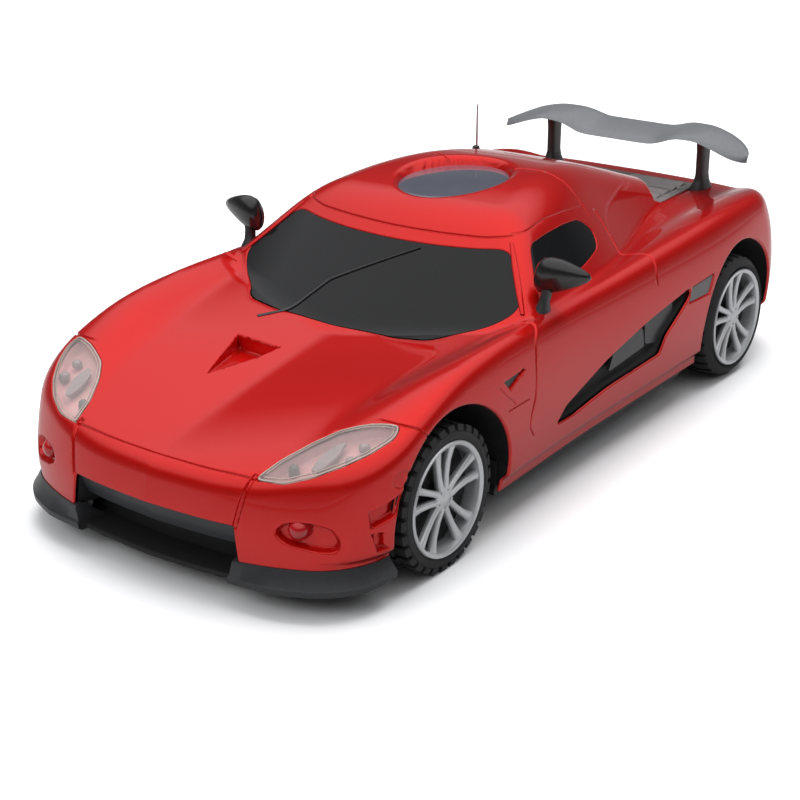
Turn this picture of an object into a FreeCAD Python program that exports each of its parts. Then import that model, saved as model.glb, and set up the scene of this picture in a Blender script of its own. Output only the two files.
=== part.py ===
"""A 1:18 radio-controlled sports car as a parametric FreeCAD document.

Frame: millimetres, +Z up, the nose points to -Y, +X is the car's left. The origin is on the ground,
on the centre plane, midway between the axles. The car stands on its four tyres at Z = 0.
"""
import FreeCAD, Part

import math
import os
import re

from FreeCAD import Vector as V

doc = FreeCAD.newDocument("Car")

# ---------------------------------------------------------------- driving dimensions
sheet = doc.addObject("Spreadsheet::Sheet", "Dims")
DIMENSIONS = dict(
    # whole car
    wheelbase=148.0, half_length=119.5, skin=1.4, floor_bottom=8.5, floor_thick=1.5,
    # wheels
    tyre_radius=18.2, bead_radius=13.4, hollow_radius=12.6, lip_radius=14.3, face_x=55.4,
    front_width=13.6, rear_width=15.0, arch_radius=22.0, spoke_count=5, tread_count=30,
    # front axle and steering
    kingpin_x=45.0, kingpin_radius=1.2, knuckle_radius=3.0, knuckle_tall=8.0, steer_arm=7.5,
    stub_radius=1.5, running_gap=0.05, rack_bottom=22.5, rack_thick=1.5,
    # rear axle and gears
    axle_radius=1.5, tooth_module=0.5, pinion_teeth=12, idler_teeth=32, axle_teeth=28,
    motor_radius=10.0, motor_flat=15.0, motor_length=25.0,
    # power
    cell_radius=7.1, cell_length=50.0, cell_pitch=15.0, bay_front=-22.0, bay_back=40.0,
    bay_half=28.0, bay_top=24.6, wall=1.5,
    # trim
    wing_span=92.0, wing_chord=17.0, wing_thick=1.6, post_x=26.8, post_y=104.0,
    mirror_x=57.0, mirror_y=-24.0, mirror_z=56.0, whip_radius=0.35, whip_length=22.0, whip_foot=61.0,
    whip_seat=67.1, whip_x=-14.0, whip_y=44.0, boss_radius=2.6,
)
ALIASES = list(DIMENSIONS)
for row, alias in enumerate(ALIASES, start=1):
    sheet.set(f"A{row}", alias)
    sheet.set(f"B{row}", str(DIMENSIONS[alias]))
    sheet.setAlias(f"B{row}", alias)
doc.recompute()


def size(alias):
    """The value of a cell, for shapes that Part's functions build."""
    return float(sheet.get(alias))


def bind(obj, **sizes):
    """Binds properties to expressions in the cells' aliases: bind(box, Length="wall * 2")."""
    for prop, text in sizes.items():
        text = re.sub(r"[a-z_]{4,}", lambda m: "Dims." + m.group() if m.group() in ALIASES else m.group(),
                      str(text))
        obj.setExpression(prop.replace("__", "."), text)
    return obj


AXES = {
    "X": FreeCAD.Rotation(V(0, 1, 0), 90),
    "Y": FreeCAD.Rotation(V(1, 0, 0), -90),
    "Z": FreeCAD.Rotation(),
}


def place(obj, at, rotation=None):
    """Puts obj at three expressions, turned by a rotation."""
    obj.Placement = FreeCAD.Placement(V(0, 0, 0), rotation or FreeCAD.Rotation())
    bind(obj, Placement__Base__x=at[0], Placement__Base__y=at[1], Placement__Base__z=at[2])
    return obj


# ---------------------------------------------------------------- small builders
def box(label, long_x, long_y, long_z, low):
    """A box from its low corner."""
    made = bind(doc.addObject("Part::Box", "Box"), Length=long_x, Width=long_y, Height=long_z)
    made.Label = label
    return place(made, low)


def slab(label, half_x, low_y, high_y, low_z, high_z, mid_x="0"):
    """A box centred across the car, from its limits along and up."""
    return box(label, f"2 * ({half_x})", f"({high_y}) - ({low_y})", f"({high_z}) - ({low_z})",
               (f"({mid_x}) - ({half_x})", low_y, low_z))


def rod(label, radius, length, start, axis="Z"):
    made = bind(doc.addObject("Part::Cylinder", "Rod"), Radius=radius, Height=length)
    made.Label = label
    return place(made, start, AXES[axis])


def ball(label, radius, centre):
    made = bind(doc.addObject("Part::Sphere", "Ball"), Radius=radius)
    made.Label = label
    return place(made, centre)


def cone(label, low_radius, high_radius, length, start, axis="Z"):
    made = bind(doc.addObject("Part::Cone", "Cone"), Radius1=low_radius, Radius2=high_radius, Height=length)
    made.Label = label
    return place(made, start, AXES[axis])


def fuse(label, *shapes):
    made = doc.addObject("Part::MultiFuse", "Fuse")
    made.Shapes = list(shapes)
    made.Label = label
    return made


def cut(label, base, *tools):
    made = doc.addObject("Part::Cut", "Cut")
    made.Base = base
    made.Tool = tools[0] if len(tools) == 1 else fuse(label + "_tools", *tools)
    made.Label = label
    return made


def common(label, *shapes):
    made = doc.addObject("Part::MultiCommon", "Common")
    made.Shapes = list(shapes)
    made.Label = label
    return made


def group(label, *shapes):
    """Identical loose pieces kept as one node of separate solids."""
    made = doc.addObject("Part::Compound", "Group")
    made.Links = list(shapes)
    made.Label = label
    return made


def feature(label, shape):
    """A shape that neither PartDesign nor the primitives can give."""
    made = doc.addObject("Part::Feature", "Feature")
    made.Shape = shape
    made.Label = label
    return made


def mirrored(label, source):
    """The same piece on the other side of the car."""
    made = doc.addObject("Part::Mirroring", "Mirror")
    made.Source = source
    made.Normal = (1, 0, 0)
    made.Label = label
    return made


def prism(label, plane, points, low, high, curved=False):
    """A closed outline in a row plane, extruded between two levels along the third axis."""
    lift = {"XY": lambda a, b: V(a, b, low), "XZ": lambda a, b: V(a, low, b), "YZ": lambda a,
            b: V(low, a, b)}[plane]
    along = {"XY": V(0, 0, 1), "XZ": V(0, 1, 0), "YZ": V(1, 0, 0)}[plane]
    corners = [lift(a, b) for a, b in points]
    if curved:
        curve = Part.BSplineCurve()
        curve.interpolate(corners, PeriodicFlag=True)
        wire = Part.Wire([curve.toShape()])
    else:
        wire = Part.makePolygon(corners + corners[:1])
    outline = feature(label + "_outline", wire)
    made = doc.addObject("Part::Extrusion", "Prism")
    made.Base = outline
    made.DirMode = "Custom"
    made.Dir = along
    made.LengthFwd = high - low
    made.Solid = True
    made.Label = label
    return made


# ---------------------------------------------------------------- the body's surfaces
# Every surface is a smooth polyline: straight runs between named knots, rounded over a few millimetres.
HOOD_MIDDLE = [(-125, 28), (-113, 31.3), (-90, 35), (-60, 39.2), (-48, 41), (-20, 46), (20, 49), (60, 47),
               (125, 45)]
CREST_HEIGHT = [(-125, 26), (-113, 31.8), (-100, 38), (-88, 43.2), (-70, 49.2), (-45, 51.2), (-20, 50.8),
                (10, 50.6), (40, 51.2), (70, 52), (100, 50.8), (125, 47.5)]
CREST_OUT = [(-125, 34), (-113, 38), (-95, 44.8), (-70, 47.2), (-40, 46.9), (0, 46.3), (80, 45.5),
             (110, 43), (125, 41)]
VALLEY_OUT = [(-125, 27), (-113, 28.5), (-80, 33.5), (-45, 40), (-20, 42), (40, 36), (80, 34), (125, 34)]
VALLEY_DEPTH = [(-125, 0), (-113, 0.2), (-95, 3), (-70, 6.8), (-45, 6.6), (-20, 4.2), (80, 4.6), (125, 3)]
SIDE_OUT = [(-125, 54), (-100, 55.8), (-74, 57.2), (-45, 56.3), (-10, 55), (30, 55.6), (74, 56), (100, 54),
            (125, 49)]
SIDE_LEAN = [(0, -3), (12, -1.2), (24, 0), (38, -0.3), (46, -2.2), (56, -7.5)]
NOSE_PLAN = [(0, 0), (20, 0.9), (32, 3.5), (44, 8), (54, 15)]
TAIL_PLAN = [(0, 0), (25, 1), (40, 4), (54, 12)]
ROOF_HEIGHT = [(-60, 54), (-30, 63.6), (-14, 67.2), (5, 69.9), (25, 70.1), (45, 66.4), (65, 59.4), (85, 52),
               (100, 46.5),
               (125, 38)]
CABIN_OUT = [(-60, 49), (-30, 49), (-10, 47.8), (10, 45.4), (25, 41.4), (45, 34), (65, 27.8), (90, 22.5),
             (125, 17)]
SCREEN_FOOT_Y, SCREEN_FOOT_Z, SCREEN_SLOPE, SCREEN_BOW = -48.5, 40.5, 1.32, 230.0
BELT, LEAN_IN, ROOF_CROWN, ROOF_SHOULDER = 49.0, 0.84, 0.8, 5.5
CREST_FALL, CREST_SOFT = -0.36, 3.4


def ramp(distance, softness):
    """0 before a knot, the distance after it, rounded over the softness."""
    return softness * math.log1p(math.exp(max(-40.0, min(40.0, distance / softness))))


def bend(at, knots, softness=4.0):
    """A smooth polyline through the knots."""
    slopes = [(b[1] - a[1]) / (b[0] - a[0]) for a, b in zip(knots, knots[1:])]
    value = knots[0][1] + slopes[0] * (at - knots[0][0])
    for knot, before, after in zip(knots[1:], slopes, slopes[1:]):
        value += (after - before) * ramp(at - knot[0], softness)
    return value


def soft_max(a, b, radius):
    lift = max(radius - abs(a - b), 0.0) / radius
    return max(a, b) + lift * lift * radius * 0.25


def deck_height(x, y):
    """Height of the bonnet, wings and rear deck."""
    crest, out, valley = bend(y, CREST_HEIGHT, 5), bend(y, CREST_OUT, 6), bend(y, VALLEY_OUT, 6)
    low = crest - bend(y, VALLEY_DEPTH, 6)
    middle = bend(y, HOOD_MIDDLE, 6)
    inner, outer, fall = (low - middle) / valley, (crest - low) / (out - valley), CREST_FALL
    x = math.sqrt(x * x + 4) - 2
    return middle + inner * x + (outer - inner) * ramp(x - valley, 1.2) + (fall - outer) * ramp(x - out,
                                                                                                CREST_SOFT)


def lower_body(x, y, z):
    """Below zero inside the lower body, seen as a bar of endless length."""
    side = bend(y, SIDE_OUT, 8) + bend(z, SIDE_LEAN, 2.5)
    return soft_max(abs(x) - side, (z - deck_height(x, y)) * 0.93, 3)


def cabin(x, y, z):
    """Below zero inside the cabin, before the windscreen trims it."""
    roof = z - bend(y, ROOF_HEIGHT, 5) + ROOF_CROWN * (x / 26.0) ** 2
    side = (abs(x) - bend(y, CABIN_OUT, 5) + (z - BELT) * LEAN_IN) * 0.73
    return soft_max(roof, side, ROOF_SHOULDER)


def reach(inside, y, floor, angle, inset):
    """Where a ray from the core line at height floor leaves the surface moved in by inset."""
    low, high = 0.0, 90.0
    for _ in range(40):
        middle = (low + high) / 2
        if inside(middle * math.sin(angle), y, floor + middle * math.cos(angle)) < -inset:
            low = middle
        else:
            high = middle
    return V(low * math.sin(angle), y, floor + low * math.cos(angle))


def section(inside, y, floor, angles, inset, foot):
    """A closed section: one curve over the top, walls down to the foot, and a straight bottom."""
    half = [reach(inside, y, floor, math.radians(a), inset) for a in angles]
    over = [V(-p.x, p.y, p.z) for p in reversed(half[1:])] + half
    curve = Part.BSplineCurve()
    curve.interpolate(Points=over, Parameters=[i / (len(over) - 1) for i in range(len(over))])
    right, left = half[-1], over[0]
    foot_right, foot_left = V(right.x, y, foot), V(left.x, y, foot)
    return Part.Wire([curve.toShape(), Part.makeLine(right, foot_right),
                      Part.makeLine(foot_right, foot_left), Part.makeLine(foot_left, left)])


LOWER_STATIONS = [-124, -112, -100, -86, -72, -56, -40, -20, 5, 35, 65, 90, 108, 124]
LOWER_ANGLES = [0, 14, 27, 38, 47, 54, 60, 65, 70, 76, 84, 92, 99]
CABIN_STATIONS = [-58, -44, -30, -16, 0, 18, 38, 58, 78, 96]
CABIN_ANGLES = [0, 15, 28, 38, 46, 53, 60, 68, 78, 88]


def lower_bar(label, inset, foot):
    wires = [section(lower_body, y, 20.0, LOWER_ANGLES, inset, foot) for y in LOWER_STATIONS]
    return feature(label, Part.makeLoft(wires, True, False))


def cabin_bar(label, inset, foot):
    wires = [section(cabin, y, 42.0, CABIN_ANGLES, inset, foot) for y in CABIN_STATIONS]
    return feature(label, Part.makeLoft(wires, True, False))


def plan_trim(label, inset):
    """An upright prism with the rounded nose and tail of the car's plan."""
    reach_x, half = 64.0, size("half_length") - inset
    xs = [reach_x * i / 6 for i in range(-6, 7)]
    nose = Part.BSplineCurve()
    nose.interpolate([V(x, -half + bend(abs(x), NOSE_PLAN, 4), 0) for x in xs])
    tail = Part.BSplineCurve()
    tail.interpolate([V(x, half - bend(abs(x), TAIL_PLAN, 5), 0) for x in xs])
    a, b = nose.EndPoint, tail.EndPoint
    wire = Part.Wire([nose.toShape(), Part.makeLine(a, b), tail.toShape(),
                      Part.makeLine(tail.StartPoint, nose.StartPoint)])
    return feature(label, Part.Face(wire).extrude(V(0, 0, 90)))


def screen_trim(label, inset):
    """Everything behind the raked windscreen: a bowed edge swept along the screen's slope."""
    reach_x, back, rise = 60.0, 170.0, 60.0
    shift = inset * math.hypot(1, SCREEN_SLOPE)
    foot_y = SCREEN_FOOT_Y + shift - SCREEN_SLOPE * SCREEN_FOOT_Z
    xs = [reach_x * i / 4 for i in range(-4, 5)]
    edge = Part.BSplineCurve()
    edge.interpolate([V(x, foot_y + x * x / SCREEN_BOW, 0) for x in xs])
    left, right = edge.StartPoint, edge.EndPoint
    wire = Part.Wire([edge.toShape(), Part.makeLine(right, V(right.x, back, 0)),
                      Part.makeLine(V(right.x, back, 0), V(left.x, back, 0)),
                      Part.makeLine(V(left.x, back, 0), left)])
    return feature(label, Part.Face(wire).extrude(V(0, SCREEN_SLOPE * rise * 1.4, rise * 1.4)))


def hull(name, inset, foot):
    """The whole body as one solid, its surface moved in by inset."""
    lower = common(name + "_lower", lower_bar(name + "_bar", inset, foot), plan_trim(name + "_plan", inset))
    upper = common(name + "_upper", cabin_bar(name + "_cabin", inset, 30.0),
                   screen_trim(name + "_screen", inset))
    return lower, upper


# ---------------------------------------------------------------- outlines of the openings
SCREEN_EDGE = [(0, 41.3), (18, 42.2), (30, 43.8), (40, 46.2), (44.4, 49), (43.4, 51.4), (36.4, 58.8),
               (33.4, 60.4),
               (26, 59.9), (14, 59.6), (0, 59.5)]
SIDE_GLASS = [(-21.5, 52), (-12, 61), (-2, 61.2), (8, 60.6), (16.5, 59), (20.5, 56.4), (19.5, 53.8),
              (15, 51.9), (4, 51.6)]
HEADLAMP = [(29.5, -111.5), (31, -104.5), (34, -97.5), (38, -92.4), (44, -89.4), (51.2, -87), (52, -92),
            (50, -99),
            (46, -104.5), (41, -108.2), (35, -110.8)]
SIDE_SCOOP = [(-26.5, 20), (-22, 23.6), (-1, 29.4), (20.7, 33.5), (43.5, 36.2), (43.5, 34), (38.5, 31),
              (30, 26.3),
              (27, 21.8), (0, 21.2), (-17, 19.6)]
MOUTH = [(-26.2, 20.4), (26.2, 20.4), (29, 8), (-29, 8)]
DECK_HOLE = [(-25, 73), (25, 73), (25, 100), (-25, 100)]
TAIL_PANEL = [(-43, 36), (43, 36), (40, 22), (-40, 22)]
DIFFUSER = [(-37, 18.5), (37, 18.5), (33, 8), (-33, 8)]
TAIL_LAMPS = [(-33, 110.6), (-21, 112.4), (21, 112.4), (33, 110.6)]
BODY_SCREWS = [(22, -98), (30, 104)]
ROOF_WELL = (0, 8, 15.4, 18.4)
PANEL_LOW, PANEL_HIGH, ABOVE_ROOF = 65.2, 66.6, 76.0
LEDS = [(38.6, -106.2), (44.8, -99.8)]
FIT = 0.15
BODY_FOOT = 8.0


def both_sides(points):
    """A half outline given for X >= 0, closed by its mirror image."""
    return points + [(-a, b) for a, b in reversed(points) if a > 0]


def shrunk(points, gap):
    """The same outline moved in by gap on every edge."""
    wire = Part.makePolygon([V(a, b, 0) for a, b in points + points[:1]])
    return [(v.Point.x, v.Point.y) for v in wire.makeOffset2D(-gap, 2, False, False, False).OrderedVertexes]


def oval(mid_x, mid_y, half_x, half_y, grow=0.0, count=12):
    turn = 2 * math.pi / count
    return [(mid_x + (half_x + grow) * math.cos(i * turn), mid_y + (half_y + grow) * math.sin(i * turn))
            for i in range(count)]


# ---------------------------------------------------------------- body shell and what fills its openings
def build_body():
    outer = fuse("outer_hull", *hull("outer", 0.0, BODY_FOOT))
    blank = cut("shell_blank", outer, fuse("inner_hull", *hull("inner", size("skin"), 0.0)))
    screen = both_sides(SCREEN_EDGE)

    posts = [rod("post", "boss_radius", "40", (f"{s} * {x}", f"{y}", "floor_bottom + floor_thick + 0.3"))
             for x, y in BODY_SCREWS for s in (-1, 1)]
    well = cut("roof_well", prism("well_outside", "XY", oval(*ROOF_WELL, 1.2), PANEL_LOW - 1.3, ABOVE_ROOF,
                                  True),
               prism("well_inside", "XY", oval(*ROOF_WELL, -1.4), 50, ABOVE_ROOF, True))
    bosses = common("screw_bosses", outer, fuse("boss_rods", *posts))
    rim = common("roof_well_rim", outer, well)
    liners = []
    for y in ("-wheelbase / 2", "wheelbase / 2"):
        for x in ("38", "-38 - 20"):
            tube = cut("liner_tube", rod("liner_outside", "arch_radius + 1", "20", (x, y, "tyre_radius"),
                                         "X"),
                       rod("liner_inside", "arch_radius", "24", (x + " - 2", y, "tyre_radius"), "X"))
            liners.append(tube)
    arch_liners = common("arch_liners", outer, group("liner_tubes", *liners))
    solid = fuse("shell_with_bosses", blank, bosses, rim, arch_liners)

    arches = [rod("arch", "arch_radius", "31", (f"{x}", f"{s} * wheelbase / 2", "tyre_radius"), "X")
              for s in (-1, 1) for x in (37, -68)]
    open_arches = cut("shell_with_arches", solid, group("arch_tools", *arches))
    glass = [
        prism("screen_hole", "XZ", screen, -60, -12),
        prism("glass_hole_left", "YZ", SIDE_GLASS, 33, 60),
        prism("glass_hole_right", "YZ", SIDE_GLASS, -60, -33),
        prism("lamp_hole_left", "XY", HEADLAMP, 30, 60),
        prism("lamp_hole_right", "XY", [(-a, b) for a, b in HEADLAMP], 30, 60),
        prism("roof_hole", "XY", oval(*ROOF_WELL, 0), PANEL_LOW - 0.05, ABOVE_ROOF, True),
        prism("deck_hole", "XY", DECK_HOLE, 38, 72),
    ]
    open_top = cut("shell_with_windows", open_arches, group("window_tools", *glass))
    ends = [
        prism("scoop_hole_left", "YZ", SIDE_SCOOP, 50, 62),
        prism("scoop_hole_right", "YZ", SIDE_SCOOP, -62, -50),
        prism("mouth_hole", "XZ", MOUTH, -125, -108),
        prism("tail_hole", "XZ", TAIL_PANEL, 107.5, 125),
        prism("diffuser_hole", "XZ", DIFFUSER, 107.5, 125),
    ]
    open_ends = cut("shell_with_vents", open_top, group("vent_tools", *ends))
    sockets = [rod("pilot", "1.15", "12", (f"{s} * {x}", f"{y}", "10")) for x, y in BODY_SCREWS
               for s in (-1, 1)]
    sockets += [rod("post_socket", "1.15", "12", (f"{s} * post_x", "post_y", "42")) for s in (-1, 1)]
    sockets += [rod("mirror_socket", "1.15", "12", (f"{x}", "mirror_y", "44.5"), "X") for x in (44, -56)]
    sockets += [rod("fog_socket", "2.1", "14", (f"{x}", "-118", "21.5"), "Y") for x in (-40.5, 40.5)]
    sockets += [rod("whip_socket", "1.6", "20", ("whip_x", "whip_y", "50"))]
    cut("body_shell", open_ends, group("socket_tools", *sockets))

    def filler(label, plane, points, low, high):
        return common(label, blank, prism(label + "_prism", plane, shrunk(points, FIT), low, high))

    filler("windscreen", "XZ", screen, -60, -12)
    filler("side_window_left", "YZ", SIDE_GLASS, 33, 60)
    filler("side_window_right", "YZ", SIDE_GLASS, -60, -33)
    filler("headlight_lens_left", "XY", HEADLAMP, 30.15, 60)
    filler("headlight_lens_right", "XY", [(-a, b) for a, b in HEADLAMP], 30.15, 60)
    build_rear_panels(filler)

    prism("roof_panel", "XY", oval(*ROOF_WELL, -FIT), PANEL_LOW, PANEL_HIGH, True)
    cover = prism("cover_plate", "XY", shrunk(DECK_HOLE, FIT), 45, 46.6)
    cover_posts = [rod("cover_post", "2", "3", (f"{x}", "86", "42.6")) for x in (-21, 21)]
    louvres = [slab("louvre", "15", f"{y}", f"{y} + 1.6", "40", "50") for y in (77, 81, 85, 89, 93)]
    cut("engine_cover", fuse("cover_solid_top", cover, *cover_posts), *louvres)


def build_rear_panels(filler):
    tail = filler("tail_blank", "XZ", TAIL_PANEL, 107.5, 125)
    lamp_holes = [rod("lamp_bore", "4.05", "30", (f"{x}", "100", "29.5"), "Y") for x, _ in TAIL_LAMPS]
    cut("rear_grille", tail, *lamp_holes)
    group("tail_lamps", *[rod("lamp", "4", "5.5", (f"{x}", f"{y}", "29.5"), "Y") for x, y in TAIL_LAMPS])
    valance = filler("valance", "XZ", DIFFUSER, 107.5, 125)
    fins = [slab("fin", "0.6", "110.5", "118.6", "10.3", "17", f"{x}") for x in (-24, -16, 16, 24)]
    pipes = [rod("pipe", "3.4", "8.9", (f"{x}", "110.6", "14"), "Y") for x in (-4.2, 4.2)]
    bores = [rod("pipe_bore", "2.7", "8", (f"{x}", "112.4", "14"), "Y") for x in (-4.2, 4.2)]
    cut("rear_diffuser", fuse("diffuser_solid", valance, *(fins + pipes)), *bores)


def build_lamps():
    lamp = shrunk(HEADLAMP, 0.9)
    bowl = cut("bowl_solid", prism("bowl_block", "XY", lamp, 23.5, 28),
               prism("bowl_hollow", "XY", shrunk(lamp, 0.8), 24.5, 29))
    room = rod("bowl_arch_room", "arch_radius + 1.3", "40", ("28", "-wheelbase / 2", "tyre_radius"), "X")
    holes = [rod("led_hole", "1.6", "5", (f"{x}", f"{y}", "23")) for x, y in LEDS]
    mirrored("headlight_bowl_right", cut("headlight_bowl_left", bowl, room, *holes))
    leds = []
    for x, y in [(s * x, y) for s in (-1, 1) for x, y in LEDS]:
        stem = rod("led_stem", "1.5", "2.6", (f"{x}", f"{y}", "22.6"))
        leds.append(fuse("led", stem, ball("led_dome", "1.5", (f"{x}", f"{y}", "25.2"))))
    group("headlight_leds", *leds)
    fogs = []
    for x in (-40.5, 40.5):
        stem = rod("fog_stem", "2", "4", (f"{x}", "-114", "21.5"), "Y")
        fogs.append(fuse("fog", stem, ball("fog_dome", "2", (f"{x}", "-114", "21.5"))))
    group("fog_lamps", *fogs)


def build_trim():
    plate = prism("mouth_plate", "XZ", shrunk(MOUTH, 0.6), -114.2, -112.8)
    bars = [slab("mouth_bar", "25", "-115.2", "-114", f"{z}", f"{z} + 0.8") for z in (11.5, 14, 16.5, 19)]
    common("front_grille", fuse("mouth_solid", plate, *bars),
           prism("mouth_limit", "XZ", shrunk(MOUTH, 0.6), -116, -112))
    lip = [(55.6, -92), (55.6, -99), (51.2, -108), (42, -113.4), (30, -117.1), (15, -119)]
    back = [(20, -103), (24, -108.2), (46, -101), (50, -92)]
    outline = lip + [(0, -119.5)] + [(-a, b) for a, b in reversed(lip)] + [(-a, b)
                                                                           for a, b in reversed(back)] + back
    plate = prism("splitter_plate", "XY", outline, 5.8, 7.8)
    fuse("front_splitter", plate, *[rod("splitter_peg", "1.2", "2.2", (f"{x}", "-105.5", "7.7"))
                                    for x in (-12, 12)])
    for side, low, high in (("left", 50, 52.4), ("right", -52.4, -50)):
        prism("side_intake_" + side, "YZ", SIDE_SCOOP, low, high)


def wing_section(x, drop, chord, thick):
    """An upside-down aerofoil with a flat top, at one station across the wing."""
    front = 94.5 + 0.0015 * x * x
    top, lead = 66.4 - drop, front + 0.8
    points = [V(x, lead - 0.8, top - 0.9), V(x, lead + 2, top - 0.1), V(x, front + chord * 0.5, top - 0.2),
              V(x, front + chord - 0.4, top + 1.6), V(x, front + chord, top + 1.2),
              V(x, front + chord * 0.5, top - 0.3 - thick), V(x, lead + 1, top - 0.6 - thick * 0.9)]
    curve = Part.BSplineCurve()
    curve.interpolate(points, PeriodicFlag=True)
    return Part.Wire([curve.toShape()])


def build_wing():
    half, chord, thick = size("wing_span") / 2, size("wing_chord"), size("wing_thick")
    stations = [(0, 6.0), (12, 5.6), (19, 2.6), (26.8, 0.5), (36, 1.5), (half, 6.0)]
    wires = [wing_section(x, drop, chord, thick) for x, drop in
             [(-x, d) for x, d in reversed(stations) if x] + stations]
    blade = feature("wing_blade", Part.makeLoft(wires, True, False))
    posts = []
    for side in (-1, 1):
        x = f"{side} * post_x"
        leg = box("post_leg", "2.4", "6.5", "16.5", (x + " - 1.2", "post_y - 3.2", "48.7"))
        post = fuse("post", leg, rod("post_peg", "1.05", "7", (x, "post_y", "43")))
        posts.append(cut("seated_post", post, blade))
    group("wing_posts", *posts)


def build_mirrors():
    head = doc.addObject("Part::Ellipsoid", "Ellipsoid")
    bind(head, Radius1="3.8", Radius2="6.2", Radius3="3.4")
    head.Label = "mirror_head"
    place(head, ("mirror_x", "mirror_y", "mirror_z"))
    stalk = bind(doc.addObject("Part::Cone", "Cone"), Radius1="2.1", Radius2="1.4", Height="11.6")
    stalk.Label = "mirror_stalk"
    place(stalk, ("mirror_x - 0.6", "mirror_y", "44"))
    peg = rod("mirror_peg", "1.05", "10", ("mirror_x - 9.5", "mirror_y", "44.5"), "X")
    mirrored("mirror_right", fuse("mirror_left", head, stalk, peg))


def build_antenna():
    x, y = "whip_x", "whip_y"
    flange = rod("socket_flange", "2.6", "1.2", (x, y, "whip_seat"))
    stem = rod("socket_stem", "1.5", "9", (x, y, "whip_seat - 8.8"))
    cut("antenna_socket", fuse("socket_solid", flange, stem),
        rod("socket_bore", "0.45", "14", (x, y, "whip_seat - 12")))
    tip = ball("whip_tip", "0.7", (x, y, "whip_foot + whip_length"))
    fuse("antenna_whip", rod("whip_wire", "whip_radius", "whip_length", (x, y, "whip_foot")), tip)


# ---------------------------------------------------------------- wheels
def sketch_on(body, role, label):
    plane = [f for f in body.Origin.OriginFeatures if f.Role == role][0]
    made = body.newObject("Sketcher::SketchObject", label)
    made.AttachmentSupport = [(plane, "")]
    made.MapMode = "FlatFace"
    return made


def closed_path(sketch, points):
    for a, b in zip(points, points[1:] + points[:1]):
        sketch.addGeometry(Part.LineSegment(V(a[0], a[1], 0), V(b[0], b[1], 0)))


def wheel_place(axle, side):
    """Wheels are drawn with the spin axis on X and the outer face towards +X, then set on their corner."""
    turn = FreeCAD.Rotation(V(0, 0, 1), 0 if side > 0 else 180)
    return FreeCAD.Placement(V(0, axle * size("wheelbase") / 2, size("tyre_radius")), turn)


def revolved(body, label, profile, plane="XZ_Plane"):
    outline = sketch_on(body, plane, label + "_profile")
    closed_path(outline, profile)
    spin = body.newObject("PartDesign::Revolution", label)
    spin.Profile = outline
    spin.ReferenceAxis = (outline, ["H_Axis"])
    spin.Angle = 360
    doc.recompute()
    return spin


def spoke_gaps(body, label, outline_points, count):
    """Cuts an outline in the wheel's face right through the disc, and repeats it around the hub."""
    outline = sketch_on(body, "YZ_Plane", label + "_outline")
    closed_path(outline, outline_points)
    hole = body.newObject("PartDesign::Pocket", label)
    hole.Profile = outline
    hole.Type = 1
    hole.Midplane = True
    doc.recompute()
    ring = body.newObject("PartDesign::PolarPattern", label + "_ring")
    ring.Originals = [hole]
    ring.Axis = ([f for f in body.Origin.OriginFeatures if f.Role == "X_Axis"][0], [""])
    ring.Angle = 360
    ring.Occurrences = count
    body.Tip = ring
    doc.recompute()
    return ring


def polar(radius, degrees):
    return (radius * math.cos(math.radians(degrees)), radius * math.sin(math.radians(degrees)))


def build_rim(label, axle, side, width, bore):
    face, lip, bead, hollow = size("face_x"), size("lip_radius"), size("bead_radius"), size("hollow_radius")
    inner, disc_back, disc_front, hub = face - width, face - 5.4, face - 1.4, 4.2
    body = doc.addObject("PartDesign::Body", "RimBody")
    body.Label = label
    bore_end = face - 2.6
    revolved(body, "Rim", [
        (inner + 0.4, bead), (inner + 0.4, hollow), (disc_back, hollow), (disc_back, hub),
        (disc_back - 1.4, hub),
        (disc_back - 1.4, bore), (bore_end, bore), (bore_end, 0), (face - 0.6, 0), (face - 0.6, 2.4),
        (disc_front, hub + 1),
        (disc_front + 0.4, hollow - 0.6), (face, hollow), (face, lip), (face - 1, lip), (face - 1.2, bead)])
    count = int(size("spoke_count"))
    step = 360 / count
    wide = [polar(5, step / 2 - 8), polar(11.9, step / 2 - 16), polar(12.2, step / 2),
            polar(11.9, step / 2 + 16), polar(5, step / 2 + 8)]
    spoke_gaps(body, "Window", wide, count)
    slot = [polar(5.6, -3), polar(11.6, -5), polar(11.6, 5), polar(5.6, 3)]
    spoke_gaps(body, "Slot", slot, count)
    body.Placement = wheel_place(axle, side)
    return body


def build_tyre(label, axle, side, width):
    face, bead, outer = size("face_x"), size("bead_radius") + 0.02, size("tyre_radius")
    inner, wall_face = face - width, face - 1.3
    body = doc.addObject("PartDesign::Body", "TyreBody")
    body.Label = label
    revolved(body, "Tyre", [
        (inner + 0.6, bead), (inner, bead + 1.6), (inner + 0.3, outer - 1.4), (inner + 1.4, outer - 0.3),
        (inner + 3, outer),
        (wall_face - 3, outer), (wall_face - 0.8, outer - 0.4), (wall_face + 0.5, outer - 1.6),
        (wall_face + 1.2, bead + 2.4),
        (wall_face, bead + 1.1), (wall_face, bead)])
    count = int(size("tread_count"))
    notch = [polar(outer + 1, -2), polar(outer - 0.7, -2), polar(outer - 0.7, 2), polar(outer + 1, 2)]
    outline = sketch_on(body, "YZ_Plane", "Notch_outline")
    closed_path(outline, notch)
    cutter = body.newObject("PartDesign::Pocket", "Notch")
    cutter.Profile = outline
    cutter.Type = 0
    cutter.Length = wall_face + 1
    cutter.Reversed = True
    doc.recompute()
    ring = body.newObject("PartDesign::PolarPattern", "Notch_ring")
    ring.Originals = [cutter]
    ring.Axis = ([f for f in body.Origin.OriginFeatures if f.Role == "X_Axis"][0], [""])
    ring.Angle = 360
    ring.Occurrences = count
    body.Tip = ring
    doc.recompute()
    body.Placement = wheel_place(axle, side)
    return body


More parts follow.
